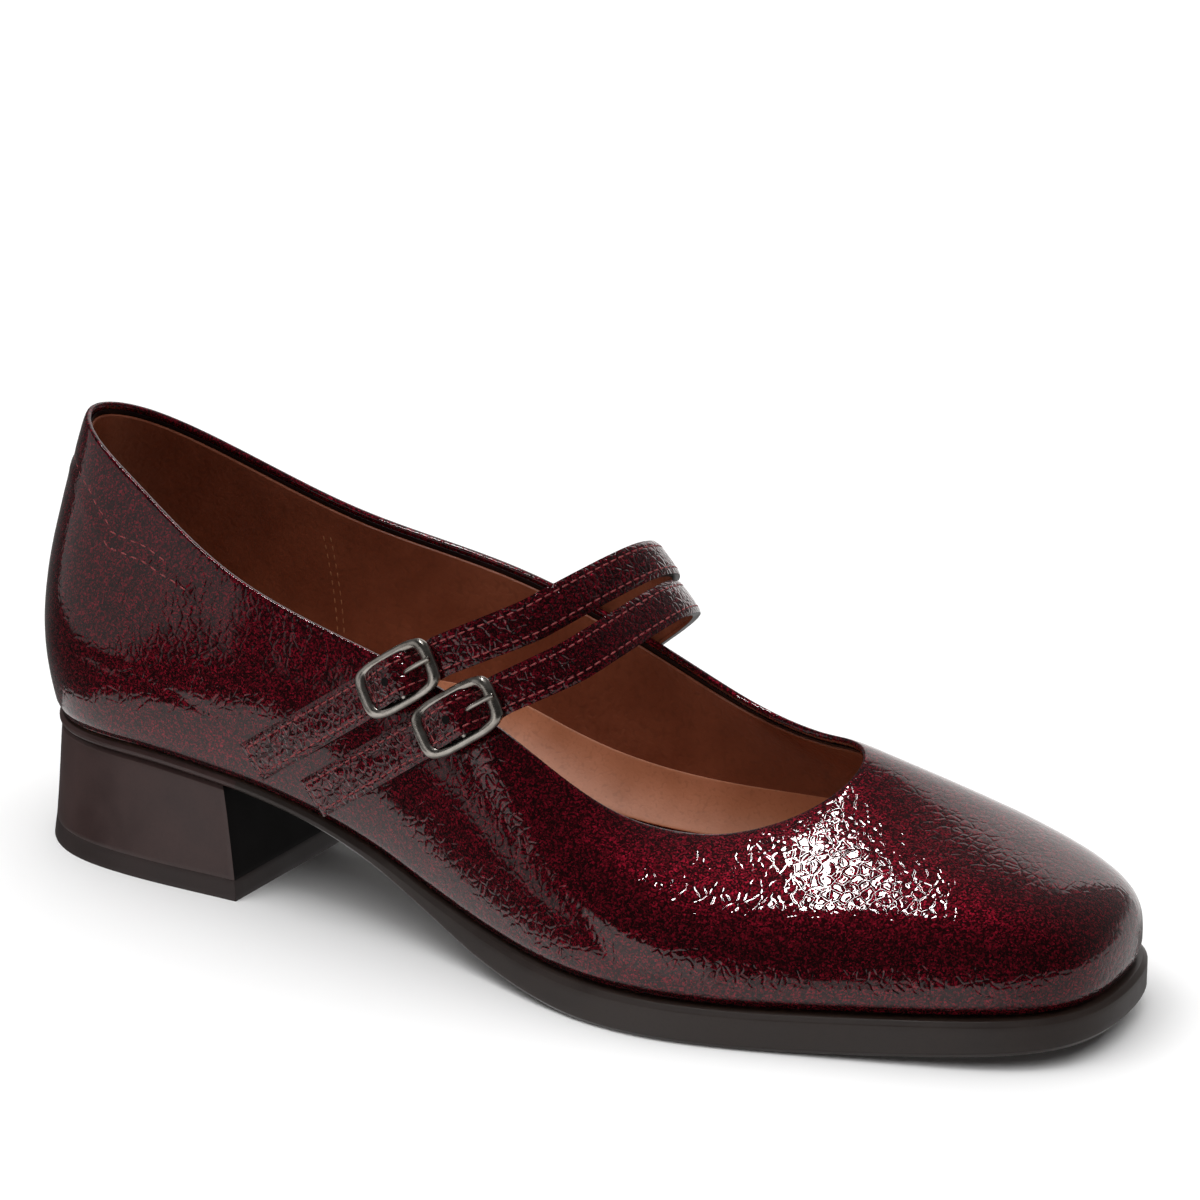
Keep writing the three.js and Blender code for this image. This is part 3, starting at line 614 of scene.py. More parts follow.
# %% [markdown]
# Relief that belongs to the leather itself is pressed into the fine mesh along its
# normals: the stiffener's edge that shows as a soft step round the heel, the crease
# below it, the seam at the centre back, and the tuck where the leather turns in over the
# sole. The places are sizes of the shoe: an angle round the heel, counted from the back
# to the outer side, and a height in millimetres.

# %% Relief lines round the heel
COUNTER_EDGE = [
    (-110, 70), (-88, 74), (-53, 77), (-24, 84), (0, 86.5), (24, 84),
    (38, 81.2), (53, 77), (66, 73.4), (88, 72.6), (106, 70.5), (122, 68),
]
BASE_CREASE = [(40, 50), (61, 48.4), (84, 47), (108, 45), (126, 42.6), (137, 38.6)]
HEEL_X = 2 * MM
FADE_ANGLE = 14


def heel_angle(point):
    return math.degrees(math.atan2(-point.y, HEEL_X - point.x))


def line_height(line, angle):
    """The height of a line at an angle, or None past its ends."""
    if not line[0][0] <= angle <= line[-1][0]:
        return None
    for (a, low), (b, high) in zip(line, line[1:]):
        if angle <= b:
            t = (angle - a) / (b - a)
            return low + (high - low) * (0.4 * smoothstep(t, 0, 1) + 0.6 * t)


def end_fade(line, angle):
    return smoothstep(min(angle - line[0][0], line[-1][0] - angle), 0, FADE_ANGLE)


print("counter edge at the back:", line_height(COUNTER_EDGE, 0), "mm")

# %% [markdown]
# Each line is a ridge or a groove with soft sides. Two slow noises add the unevenness
# of real leather. Near the rim all of it fades out. The tuck is measured from the
# nearest place on the upper's lowest ring.

# %% Relief of the upper
FEATHER_TUCK = 2.2
TUCK_DEPTH = 0.75


def ridge(distance, height, width):
    return height * math.exp(-(distance / width) ** 2)


def relief(point, depth):
    """How far out of its place a point of the outer wall goes, in millimetres."""
    out = 0.0
    x, y, z = (v / MM for v in point)
    angle = heel_angle(point)
    if x < 45:
        height = line_height(COUNTER_EDGE, angle)
        if height is not None:
            fade = end_fade(COUNTER_EDGE, angle)
            out += fade * (ridge(z - height + 1.5, 0.20, 1.3) - ridge(z - height - 0.6, 0.14, 1.0))
        height = line_height(BASE_CREASE, angle)
        if height is not None:
            ragged = noise.noise(point * 260) * 1.2
            out -= end_fade(BASE_CREASE, angle) * ridge(z - height + ragged, 0.10, 1.3)
    if x < -15 and abs(y) < 6:
        out += (ridge(abs(y) - 2, 0.12, 1.0) - ridge(y, 0.30, 0.8)) * smoothstep(z, 60, 88)
    out += 0.10 * noise.noise(point * 42) + 0.05 * noise.noise(point * 120)
    return out * smoothstep(depth, 0.3, 2.5)


def shape_upper(piece):
    mesh = piece.data
    depths = mesh.attributes["below_rim"].data
    normals = [v.normal.copy() for v in mesh.vertices]
    lowest = OUTER_POINTS[-1]
    count = len(lowest)
    strip = [(i, (i + 1) % count, count + (i + 1) % count, count + i) for i in range(count)]
    tree = BVHTree.FromPolygons(lowest + [p + Vector((0, 0, MM)) for p in lowest], strip)
    for index, vertex in enumerate(mesh.vertices):
        depth = depths[index].value
        if depth <= 0:
            continue
        moved = relief(vertex.co, depth)
        base, _, _, _ = tree.find_nearest(vertex.co)
        rise = (vertex.co.z - base.z) / MM
        if rise < FEATHER_TUCK:
            moved -= TUCK_DEPTH * (1 - max(rise, 0) / FEATHER_TUCK) ** 2
        vertex.co += normals[index] * moved * MM
    mesh.update()


shape_upper(upper)
print("relief pressed into the upper")

# %% [markdown]
# Inside the shoe a strip of the patent leather is folded over the edge, and the lining
# starts some millimetres below it with a cut edge of its own. The lining is made from
# the inner wall's rings: a loop is laid from each ring, the loops are bridged into a
# sheet, the top is lowered, and the sheet is given its thickness.

# %% Lining
FACING = 3.1
LINING_WALL = 0.75
HOLLOW_MIDDLE = Vector((0.09, 0, 0.05))
INNER_COLUMNS = list(zip(*INNER_POINTS))


def lowered(column, depth_mm):
    """The point of a column of the inner wall that lies a depth along it below the rim."""
    left = depth_mm * MM
    for upper_point, lower_point in zip(column, column[1:]):
        length = (lower_point - upper_point).length
        if left <= length:
            return upper_point.lerp(lower_point, left / length)
        left -= length
    return column[-1]


def inner_sheet(loops, thickness_mm):
    """A sheet through closed loops of points, from above down, that faces the hollow."""
    form = bmesh.new()
    rounds = []
    for points in loops:
        corners = [form.verts.new(point) for point in points]
        rounds.append([form.edges.new(pair) for pair in zip(corners, corners[1:] + corners[:1])])
    for above, below in zip(rounds, rounds[1:]):
        bmesh.ops.bridge_loops(form, edges=above + below)
    bmesh.ops.recalc_face_normals(form, faces=form.faces)
    form.faces.ensure_lookup_table()
    face = form.faces[0]
    if face.normal.dot(HOLLOW_MIDDLE - face.calc_center_median()) < 0:
        bmesh.ops.reverse_faces(form, faces=form.faces)
    bmesh.ops.solidify(form, geom=form.faces, thickness=thickness_mm * MM)
    return form


def make_lining():
    lengths = [sum((b - a).length for a, b in zip(column, column[1:])) / MM for column in INNER_COLUMNS]
    loops = [
        [lowered(column, FACING + step * (length - FACING)) for column, length in zip(INNER_COLUMNS, lengths)]
        for step in [0.0, 0.012, 0.05] + [i / 12 for i in range(1, 13)]
    ]
    form = inner_sheet(loops, -LINING_WALL)
    rim = [e for e in form.edges if abs(e.calc_face_angle(0)) > math.radians(60)]
    bevelled(form, rim, 0.25, 2)
    lining = new_piece("lining", form, [lining_leather])
    smooth_modifier(lining, 1)
    return lining


lining = make_lining()
lining_box = [[round(v / MM, 1) for v in corner] for corner in (lining.bound_box[0], lining.bound_box[6])]
print("lining box in mm:", lining_box)

# %% [markdown]
# Between the facing and the lining lies a dark line of shade. It is painted in: a
# narrow band of near-black edge paint is laid there from the same columns, as painted
# shade.

# %% Painted shade band under the facing
SHADE_BAND_ROWS = (1.9, 2.2, 2.9, 3.3)

form = inner_sheet([[lowered(column, depth) for column in INNER_COLUMNS] for depth in SHADE_BAND_ROWS], -0.22)
smooth_modifier(new_piece("facing_shade_band", form, [edge_paint_and_shade]), 1)

# %% [markdown]
# Stitches are real thread: short rods with round ends, one after the other along a
# line, pressed a little into the leather. One function lays them along any path that
# comes with the surface's normals.

# %% Stitches
def spaced(points, step):
    """Places at even steps along a polyline, each with its direction."""
    places = []
    left = step / 2
    for a, b in zip(points, points[1:]):
        length = (b - a).length
        along = left
        while along < length:
            places.append((a.lerp(b, along / length), (b - a).normalized()))
            along += step
        left = along - length
    return places


def lay_stitches(rows, path, normals, length, gap, radius, proud):
    """Adds to rows one placing matrix for each stitch along the path."""
    for place, run in spaced(path, (length + gap) * MM):
        nearest = min(range(len(path)), key=lambda i: (path[i] - place).length_squared)
        side = normals[nearest].cross(run).normalized()
        normal = run.cross(side).normalized()
        middle = place + normal * (proud - 0.6 * radius) * MM
        turn = Matrix((run, side, normal)).transposed().to_4x4()
        size = Matrix.Diagonal((length / 2 * MM, radius * MM, radius * 0.8 * MM, 1))
        rows.append(Matrix.Translation(middle) @ turn @ size)


def one_stitch():
    """A rod with round ends, along x, two units long and two across."""
    form = bmesh.new()
    bmesh.ops.create_uvsphere(form, u_segments=8, v_segments=6, radius=1.0)
    bmesh.ops.rotate(form, matrix=Matrix.Rotation(math.pi / 2, 3, "Y"), verts=form.verts)
    for v in form.verts:
        v.co.x = math.copysign(min(abs(v.co.x) ** 0.6, 1.0), v.co.x)
    points = np.array([v.co for v in form.verts])
    faces = [[v.index for v in f.verts] for f in form.faces]
    form.free()
    return points, faces


STITCH_POINTS, STITCH_FACES = one_stitch()


def stitch_piece(name, rows, material):
    """Copies the one stitch to every placing matrix, as a single mesh."""
    count = len(STITCH_POINTS)
    points = np.concatenate([
        STITCH_POINTS @ np.array(row.to_3x3()).T + np.array(row.translation) for row in rows
    ])
    faces = [[i + k * count for i in face] for k in range(len(rows)) for face in STITCH_FACES]
    mesh = bpy.data.meshes.new(name)
    mesh.from_pydata(points.tolist(), [], faces)
    placed(name, mesh, [material])
    print(f"{name}: {len(rows)} stitches")


upper_tree = BVHTree.FromObject(upper, bpy.context.evaluated_depsgraph_get())
lining_tree = BVHTree.FromObject(lining, bpy.context.evaluated_depsgraph_get())


def on_heel(line, shift_mm, from_angle, to_angle):
    """Points and normals on the upper along a line round the heel."""
    points, normals = [], []
    steps = 60
    for i in range(steps + 1):
        angle = from_angle + (to_angle - from_angle) * i / steps
        height = (line_height(line, angle) + shift_mm) * MM
        turn = math.radians(angle)
        way = Vector((-math.cos(turn), -math.sin(turn), 0))
        start = Vector((HEEL_X, 0, height)) + way * 0.12
        hit, normal, _, _ = upper_tree.ray_cast(start, -way)
        if hit is not None:
            points.append(hit)
            normals.append(normal)
    return points, normals


def make_heel_stitches():
    rows = []
    for shift, first, last in ((1.3, -108, 104), (-1.6, 60, 118), (-1.6, -108, -60)):
        points, normals = on_heel(COUNTER_EDGE, shift, first, last)
        lay_stitches(rows, points, normals, length=2.0, gap=1.0, radius=0.22, proud=0.02)
    stitch_piece("heel_stitches", rows, red_thread)


make_heel_stitches()

# %% [markdown]
# The lining is sewn together on each side with a seam that stands up the wall, a little
# behind the waist. Two rows of tan thread hold it.

# %% Lining seams
def make_lining_seams():
    rows = []
    for side in (1, -1):
        for x in (17.6, 19.4):
            points, normals = [], []
            for step in range(46):
                z = 20 + step
                start = Vector(((x - 0.06 * (z - 40)) * MM, 0, z * MM))
                hit, normal, _, _ = lining_tree.ray_cast(start, Vector((0, side, 0)))
                if hit is not None:
                    points.append(hit)
                    normals.append(normal if normal.y * side < 0 else -normal)
            if len(points) > 2:
                lay_stitches(rows, points, normals, length=1.3, gap=0.9, radius=0.2, proud=0.06)
    stitch_piece("lining_seams", rows, tan_thread)


make_lining_seams()

# %% [markdown]
# A strap in the frame is a band with bevelled long edges. Its two upper edges are found
# by walking from the end cap along the sharp edge that goes on most nearly straight.
# These two rails give the strap's true run, width and twist. Each strap and tab is then
# laid between its rails: a grid, warped on to them, with a pressed channel for each row
# of stitches, and given its thickness, painted edges and lined underside.

# %% Rails of a band
def is_sharp(edge):
    return len(edge.link_faces) == 2 and abs(edge.calc_face_angle(0)) > math.radians(22)


def walk_rail(corner, run):
    rail = [corner.co.copy()]
    seen = {corner}
    while True:
        options = []
        for edge in corner.link_edges:
            far = edge.other_vert(corner)
            way = far.co - corner.co
            if far in seen or way.length < 1e-7 or not is_sharp(edge):
                continue
            options.append((way.normalized().dot(run), far, way.normalized()))
        if not options:
            break
        straight, far, way = max(options, key=lambda option: option[0])
        if straight < 0.55:
            break
        corner, run = far, way
        seen.add(corner)
        rail.append(corner.co.copy())
    return rail


def band_rails(node, down, outward):
    """The two upper rails of a band, from its sewn end to its other end."""
    form = cad_copy(node)
    side = [v for v in form.verts if v.co.dot(outward) > 20 * MM]
    cap = sorted(side, key=lambda v: v.co.dot(down))[-8:]
    long_edges = [
        e for v in cap for e in v.link_edges
        if e.other_vert(v) in cap and 4 * MM < e.calc_length() and is_sharp(e)
    ]
    top_edge = max(long_edges, key=lambda e: (e.verts[0].co + e.verts[1].co).dot(outward))
    rails = [walk_rail(v, -down) for v in top_edge.verts]
    form.free()
    count = min(len(rail) for rail in rails)
    return [rail[:count] for rail in rails]


INNER_DOWN = Vector((-1, 0, -1)).normalized()
OUTER_DOWN = Vector((-math.cos(math.radians(35)), 0, -math.sin(math.radians(35))))
rails = {}
for which in ("rear", "front"):
    rails["strap_" + which] = band_rails("strap_" + which, INNER_DOWN, Vector((0, 1, 0)))
    rails["tab_" + which] = band_rails("tab_" + which, OUTER_DOWN, Vector((0, -1, 0)))
for name, (first, second) in rails.items():
    print(name, len(first), "rail points, width", round((first[0] - second[0]).length / MM, 2), "mm, length",
          round(sum((b - a).length for a, b in zip(first, first[1:])) / MM, 1), "mm")


# %% [markdown]
# A rail's points stand where the solid's facets meet. A smooth curve through them is
# sampled at even steps.

# %% Smooth rails
ROW_STEP = 0.8


def catmull(points, t):
    last = len(points) - 1
    place = min(max(t, 0.0), 1.0) * last
    i = min(int(place), last - 1)
    u = place - i
    before = points[max(i - 1, 0)]
    a, b = points[i], points[i + 1]
    after = points[min(i + 2, last)]
    return 0.5 * (
        2 * a + (b - before) * u + (2 * before - 5 * a + 4 * b - after) * u ** 2
        + (3 * a - before - 3 * b + after) * u ** 3
    )


def even_rails(pair):
    """Both rails sampled at even steps of the band's middle line."""
    fine = 600
    middle = [(catmull(pair[0], i / fine) + catmull(pair[1], i / fine)) / 2 for i in range(fine + 1)]
    lengths = [0.0]
    for a, b in zip(middle, middle[1:]):
        lengths.append(lengths[-1] + (b - a).length)
    count = round(lengths[-1] / (ROW_STEP * MM))
    rows = []
    i = 0
    for k in range(count + 1):
        wanted = lengths[-1] * k / count
        while i < fine - 1 and lengths[i + 1] < wanted:
            i += 1
        t = (i + (wanted - lengths[i]) / max(lengths[i + 1] - lengths[i], 1e-9)) / fine
        rows.append((catmull(pair[0], t), catmull(pair[1], t)))
    return rows, lengths[-1] / MM


# %% [markdown]
# The rails lie where the band's flat top meets its bevel, so the leather goes on a
# little past them to each side. Columns of the grid stand close together at the edges
# and at the stitch channels, where the form turns, and far apart between.

# %% Straps and tabs
BEVEL = 0.35
CHANNEL = 1.45
BAND_THICK = {"strap": 1.8, "tab": 1.6}
SPARE_HOLE = 7.0


def band_columns(width):
    near = [0.0, 0.18, 0.55, CHANNEL - 0.35, CHANNEL, CHANNEL + 0.35, CHANNEL + 1.0]
    return near + [width / 2] + [width - v for v in reversed(near)]


def real_width(rails_here):
    return (rails_here[0] - rails_here[1]).length / MM + 2 * BEVEL


def band_ways(rows, outward):
    """At each row, the ways across the band and out of its top."""
    last = len(rows) - 1
    ways = []
    for i, (left, right) in enumerate(rows):
        ahead, behind = rows[min(i + 1, last)], rows[max(i - 1, 0)]
        run = (sum(ahead, Vector()) - sum(behind, Vector())).normalized()
        across = (right - left).normalized()
        ways.append((across, run.cross(across).normalized()))
    if ways[0][1].dot(outward) < 0:
        ways = [(across, -out) for across, out in ways]
    return ways


def build_band(node, outward):
    rows, length = even_rails(rails[node])
    width = real_width(rows[0])
    columns = band_columns(width)
    ways = band_ways(rows, outward)
    last = len(rows) - 1
    form = bmesh.new()
    bmesh.ops.create_grid(form, x_segments=last, y_segments=len(columns) - 1, size=1.0)
    spots = {}
    for v in form.verts:
        i = round((v.co.x + 1) / 2 * last)
        j = round((v.co.y + 1) / 2 * (len(columns) - 1))
        spots[v] = i
        across, out = ways[i]
        share = columns[j] / width
        offset = share * real_width(rows[i]) - BEVEL
        along = length * i / last
        rim_distance = min(columns[j], width - columns[j], along, length - along)
        press = ridge(rim_distance - CHANNEL, 0.13, 0.33)
        crown = 0.10 * math.sin(math.pi * share)
        round_off = 0.34 * (1 - smoothstep(rim_distance, 0.0, 0.9))
        v.co = rows[i][0] + across * offset * MM + out * (crown - press - round_off) * MM
    bmesh.ops.recalc_face_normals(form, faces=form.faces)
    near_start = [f for f in form.faces if any(spots[v] < 4 for v in f.verts)]
    if sum(f.normal.dot(ways[0][1]) for f in near_start) < 0:
        bmesh.ops.reverse_faces(form, faces=form.faces)
    thick = BAND_THICK[node.split("_")[0]]
    bmesh.ops.solidify(form, geom=list(form.faces), thickness=thick * MM)
    return form, SimpleNamespace(rows=rows, ways=ways, length=length, width=width)


print("columns across a strap:", [round(v, 2) for v in band_columns(9.2)])


# %% [markdown]
# The faces of each band are sorted by the way they face: the top is patent leather, the
# underside is lined, and the edges between are painted. Where the materials meet, the
# form is bevelled.

# %% Build the bands
TOP, EDGE, UNDER = range(3)


def make_band(node, outward):
    form, band = build_band(node, outward)
    form.normal_update()
    middles = [(a + b) / 2 for a, b in band.rows]
    for face in form.faces:
        centre = face.calc_center_median()
        i = min(range(len(middles)), key=lambda k: (middles[k] - centre).length_squared)
        out = band.ways[i][1]
        facing = face.normal.dot(out)
        depth = (centre - middles[i]).dot(out) / MM
        if facing > 0.6 and depth > -0.8:
            face.material_index = TOP
        else:
            face.material_index = UNDER if facing < -0.6 else EDGE
    rim = [e for e in form.edges if {f.material_index for f in e.link_faces} in ({TOP, EDGE}, {EDGE, UNDER})]
    bevelled(form, rim, 0.32, 2, material=EDGE)
    materials = [strap_patent, edge_paint_and_shade, lining_leather]
    piece = new_piece(node + "_leather", form, materials, [node])
    smooth_modifier(piece, 1)
    return band


bands = {}
for node, side in (("strap_rear", 1), ("strap_front", 1), ("tab_rear", -1), ("tab_front", -1)):
    bands[node] = make_band(node, Vector((0, side, 0)))


def band_point(band, along_mm, across_mm, lift):
    """A point on a band's top and the way out of it there."""
    place = min(max(along_mm / band.length, 0.0), 1.0) * (len(band.rows) - 1)
    i = min(int(place), len(band.rows) - 2)
    u = place - i
    first = band.rows[i][0].lerp(band.rows[i + 1][0], u)
    across, out = band.ways[i]
    across = across.lerp(band.ways[i + 1][0], u)
    offset = across_mm / band.width * real_width(band.rows[i]) - BEVEL
    return first + across * offset * MM + out * lift * MM, out


# %% [markdown]
# Each strap has one more punched hole near its tip. On the shoe it is a plain punched
# opening, dark inside with shade. Seen from any distance it is a small dark well with a
# pressed rim, so it is made as that: a round of edge paint laid on the strap, its middle
# sunk and painted black as painted shade.

# %% Spare holes
def spare_hole(form, band):
    middle, out = band_point(band, band.length - SPARE_HOLE, band.width / 2, 0.17)
    made = bmesh.ops.create_circle(form, cap_ends=True, radius=0.92 * MM, segments=24)
    face = made["verts"][0].link_faces[0]
    bmesh.ops.inset_region(form, faces=[face], thickness=0.14 * MM, depth=0.05 * MM)
    bmesh.ops.inset_region(form, faces=[face], thickness=0.10 * MM, depth=-0.08 * MM)
    # the sunk middle is painted black as painted shade
    face.material_index = 1
    if face.normal.z < 0:
        bmesh.ops.reverse_faces(form, faces=form.faces)
    turn = Vector((0, 0, 1)).rotation_difference(out).to_matrix().to_4x4()
    bmesh.ops.transform(form, matrix=Matrix.Translation(middle) @ turn, verts=form.verts)


def make_spare_holes():
    whole = bmesh.new()
    for node in ("strap_rear", "strap_front"):
        one = bmesh.new()
        spare_hole(one, bands[node])
        add_form(whole, one)
    new_piece("spare_holes", whole, [edge_paint_and_shade, painted_shade_black])


make_spare_holes()

# %% [markdown]
# The thread runs along both edges of each band and across its sewn end. On the straps
# it turns back over the tip as well, and at the inner end it closes a small box.

# %% Stitch rows on the bands
BOX_AT = 11.5


def band_stitches(node):
    band = bands[node]
    rows = []
    low, high = CHANNEL, band.width - CHANNEL
    is_strap = node.startswith("strap")
    first, last = CHANNEL, band.length - (CHANNEL if is_strap else 0)
    route = [(last, low), (first, low), (first, high), (last, high)] + [(last, low)] * is_strap
    for (a0, c0), (a1, c1) in zip(route, route[1:]):
        steps = max(2, round(max(abs(a1 - a0), abs(c1 - c0)) / ROW_STEP))
        shares = [k / steps for k in range(steps + 1)]
        path = [band_point(band, a0 + (a1 - a0) * t, c0 + (c1 - c0) * t, -0.04) for t in shares]
        lay_stitches(rows, *zip(*path), length=1.6, gap=0.6, radius=0.20, proud=0.10)
    if is_strap:
        steps = round(band.width / 0.5)
        path = [band_point(band, BOX_AT, low + (high - low) * k / steps, -0.02) for k in range(steps + 1)]
        lay_stitches(rows, *zip(*path), length=1.6, gap=0.5, radius=0.25, proud=0.15)
    stitch_piece(node + "_stitches", rows, red_thread)


for node in bands:
    band_stitches(node)

# %% [markdown]
# Each buckle is cast metal: an oblong frame with softly square corners, its two ends
# broader than its sides, and a thin bar across the middle under the strap. The frame's
# middle line is drawn as a superellipse curve with its own radius at each point, and
# the curve's round section is then flattened a little, as such castings are.

# %% Buckles
BUCKLE_LENGTH = 20.5
BUCKLE_WIDTH = 12.5
END_BAR = 2.9
SIDE_BAR = 2.1
CORNER_POWER = 4.2
FLATTENED = 0.86
MIDDLE_BAR = 1.7
MIDDLE_BAR_Z = -0.15


def main_directions(node):
    """A node's centre and its longest, middle and shortest directions."""
    points = np.array([v.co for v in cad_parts[node].data.vertices])
    centre = (points.min(0) + points.max(0)) / 2
    _, _, ways = np.linalg.svd(points - points.mean(0), full_matrices=False)
    run, across, out = (Vector(w) for w in ways)
    if run.x < 0:
        run = -run
    if out.y > 0:
        out = -out
    across = out.cross(run)
    shares = (points - centre) @ ways.T
    middle = Vector(centre) + sum(
        (Vector(w) * float((s.min() + s.max()) / 2) for w, s in zip(ways, shares.T)), Vector())
    return middle, run, across, out


def tube_along(points, radii, closed, name):
    curve = bpy.data.curves.new(name, "CURVE")
    curve.dimensions = "3D"
    spline = curve.splines.new("POLY")
    spline.points.add(len(points) - 1)
    for spot, point, radius in zip(spline.points, points, radii):
        spot.co = (*point, 1)
        spot.radius = radius
    spline.use_cyclic_u = closed
    curve.bevel_depth = 1.0
    curve.bevel_resolution = 5
    curve.use_fill_caps = True
    holder = bpy.data.objects.new(name, curve)
    bpy.context.scene.collection.objects.link(holder)
    graph = bpy.context.evaluated_depsgraph_get()
    mesh = bpy.data.meshes.new_from_object(holder.evaluated_get(graph))
    form = bmesh.new()
    form.from_mesh(mesh)
    bpy.data.objects.remove(holder)
    bpy.data.curves.remove(curve)
    bpy.data.meshes.remove(mesh)
    bmesh.ops.remove_doubles(form, verts=form.verts, dist=0.002 * MM)
    bmesh.ops.recalc_face_normals(form, faces=form.faces)
    return form


def make_buckle(node):
    middle, run, across, out = main_directions(node)
    half_length = (BUCKLE_LENGTH - END_BAR) / 2
    half_width = (BUCKLE_WIDTH - SIDE_BAR) / 2
    steps = 96
    points, radii = [], []
    for i in range(steps):
        turn = 2 * math.pi * (i + 0.5) / steps
        x, y = (math.copysign(abs(v) ** (2 / CORNER_POWER), v) for v in (math.cos(turn), math.sin(turn)))
        x, y = x * half_length, y * half_width
        end = smoothstep(abs(x), half_length * 0.72, half_length * 0.99)
        points.append(Vector((x, y, 0)) * MM)
        radii.append((SIDE_BAR + (END_BAR - SIDE_BAR) * end) / 2 * MM)
    form = tube_along(points, radii, True, node + "_line")
    for v in form.verts:
        v.co.z *= FLATTENED
    bar = [Vector((0, y * half_width, MIDDLE_BAR_Z)) * MM for y in (-1, -0.5, 0, 0.5, 1)]
    middle_bar = tube_along(bar, [MIDDLE_BAR / 2 * MM] * len(bar), False, node + "_bar_line")
    turn = Matrix((run, across, out)).transposed().to_4x4()
    for part in (form, middle_bar):
        bmesh.ops.transform(part, matrix=Matrix.Translation(middle) @ turn, verts=part.verts)
    add_form(form, middle_bar)
    new_piece(node + "_frame", form, [nickel], [node])


for node in ("buckle_rear", "buckle_front"):
    make_buckle(node)

# %% [markdown]
# The prongs keep the solids' form, made smooth.

# %% Prongs
for node in ("prong_rear", "prong_front"):
    form = squared(cad_copy(node))
    prong = new_piece(node + "_pin", form, [nickel], [node])
    smooth_modifier(prong, 2)

# %% [markdown]
# Sole, heel and insole keep the solids' own forms. Their sharp edges are creased, so
# that the subdivision rounds the outline and leaves the edges, and a narrow bevel then
# gives each edge the small highlight that makes it read as cut and finished.

# %% Sole, heel and lift
def hard_copy(node, name, material):
    form = squared(cad_copy(node))
    form.normal_update()
    crease = form.edges.layers.float.new("crease_edge")
    for edge in form.edges:
        if len(edge.link_faces) == 2 and abs(edge.calc_face_angle(0)) > math.radians(32):
            edge[crease] = 1.0
    piece = new_piece(name, form, [material], [node])
    smooth_modifier(piece, 2)
    rounded_edges(piece, 0.35)
    return piece


def breast_in_painted_shade(piece):
    """The heel's front face lies in shade under the arch, so it is painted near-black as painted shade."""
    piece.data.materials.append(painted_shade_black)
    for face in piece.data.polygons:
        if face.normal.x > 0.7:
            face.material_index = 1


def covered_seat(piece):
    """Round the heel the cover is drawn up over the sole's edge."""
    piece.data.materials.append(heel_cover)
    for face in piece.data.polygons:
        if face.center.x < 27 * MM and abs(face.normal.z) < 0.8:
            face.material_index = 1


outsole = hard_copy("outsole", "sole", sole_rubber)
covered_seat(outsole)
heel = hard_copy("heel_block", "heel", heel_cover)
breast_in_painted_shade(heel)
hard_copy("heel_lift", "heel_tip", lift_rubber)

# %% [markdown]
# The insole is a thin sock of leather over foam. It is crowned a little, it sinks under
# the heel and the ball, and its edge turns down to the lining.

# %% Insole
# x, y, depth, reach along and reach across, all in millimetres
DENTS = [(2, 0, 0.7, 22, 17), (138, -2, 0.5, 24, 24)]


def make_sock():
    form = squared(cad_copy("insole"))
    sock = new_piece("sock", form, [sock_leather], ["insole"])
    smooth_modifier(sock, 2)
    finished(sock)
    facing_up = [v.normal.z > 0.5 for v in sock.data.vertices]
    for vertex, is_top in zip(sock.data.vertices, facing_up):
        if is_top:
            x, y = vertex.co.x / MM, vertex.co.y / MM
            for at_x, at_y, deep, along, across in DENTS:
                vertex.co.z -= deep * MM * math.exp(-((x - at_x) / along) ** 2 - ((y - at_y) / across) ** 2)
            vertex.co.z += 0.12 * MM * noise.noise(vertex.co * 60)


make_sock()

# %% [markdown]
# The sock's leather is drawn up the walls as a soft cove, high along the forepart and
# low round the heel. It is laid in loops, like the lining: each loop follows the inner
# wall and steps inward as it goes down.

# %% Cove of the sock
def wall_at_height(column, height):
    for a, b in zip(column, column[1:]):
        if a.z >= height >= b.z and a.z > b.z:
            return a.lerp(b, (a.z - height) / (a.z - b.z))
    return column[-1]


def cove_point(column, share):
    """A point of the cove: share runs from 0 at its top to 1 at its foot."""
    foot = column[-1]
    low = foot.z + 2.4 * MM
    top = min(low + (2.5 + 8.2 * smoothstep(foot.x, 20 * MM, 75 * MM)) * MM, column[0].z - 6 * MM)
    wall = wall_at_height(column, top + (low - top) * share)
    inward = Vector((foot.x * 0.6 + 0.035 - foot.x, -0.002 - foot.y, 0)).normalized()
    return wall + inward * (1.05 + 4.5 * share ** 3) * MM


def make_cove():
    shares = (0.0, 0.08, 0.25, 0.45, 0.65, 0.82, 0.94, 1.0)
    form = inner_sheet([[cove_point(column, share) for column in INNER_COLUMNS] for share in shares], 0.35)
    smooth_modifier(new_piece("sock_cove", form, [sock_leather]), 1)


make_cove()

# %% [markdown]
# The studio is a pale floor and soft lamps. A glossy shoe shows its room, so the room
# is built from what the leather reflects: white floor close by that ends in darkness, a
# low white panel before the heel, a grey one to its left, and a tall bright one behind
# the shoe. They are parts of the world, set by direction: azimuth 0 looks along -y and
# 90 along +x. So that these stay the same from everywhere on the shoe, reflections see
# the world's own floor and not the real one.

# %% Floor
def make_floor():
    form = bmesh.new()
    bmesh.ops.create_grid(form, x_segments=2, y_segments=2, size=6.0)
    mesh = bpy.data.meshes.new("floor")
    form.to_mesh(mesh)
    form.free()
    floor = bpy.data.objects.new("floor", mesh)
    bpy.context.scene.collection.objects.link(floor)
    material, _, shader = new_material("studio_floor")
    shader.inputs["Base Color"].default_value = (0.93, 0.93, 0.93, 1)
    shader.inputs["Roughness"].default_value = 0.9
    shader.inputs["Specular IOR Level"].default_value = 0.0
    mesh.materials.append(material)
    floor.visible_glossy = False


make_floor()
print("floor made")


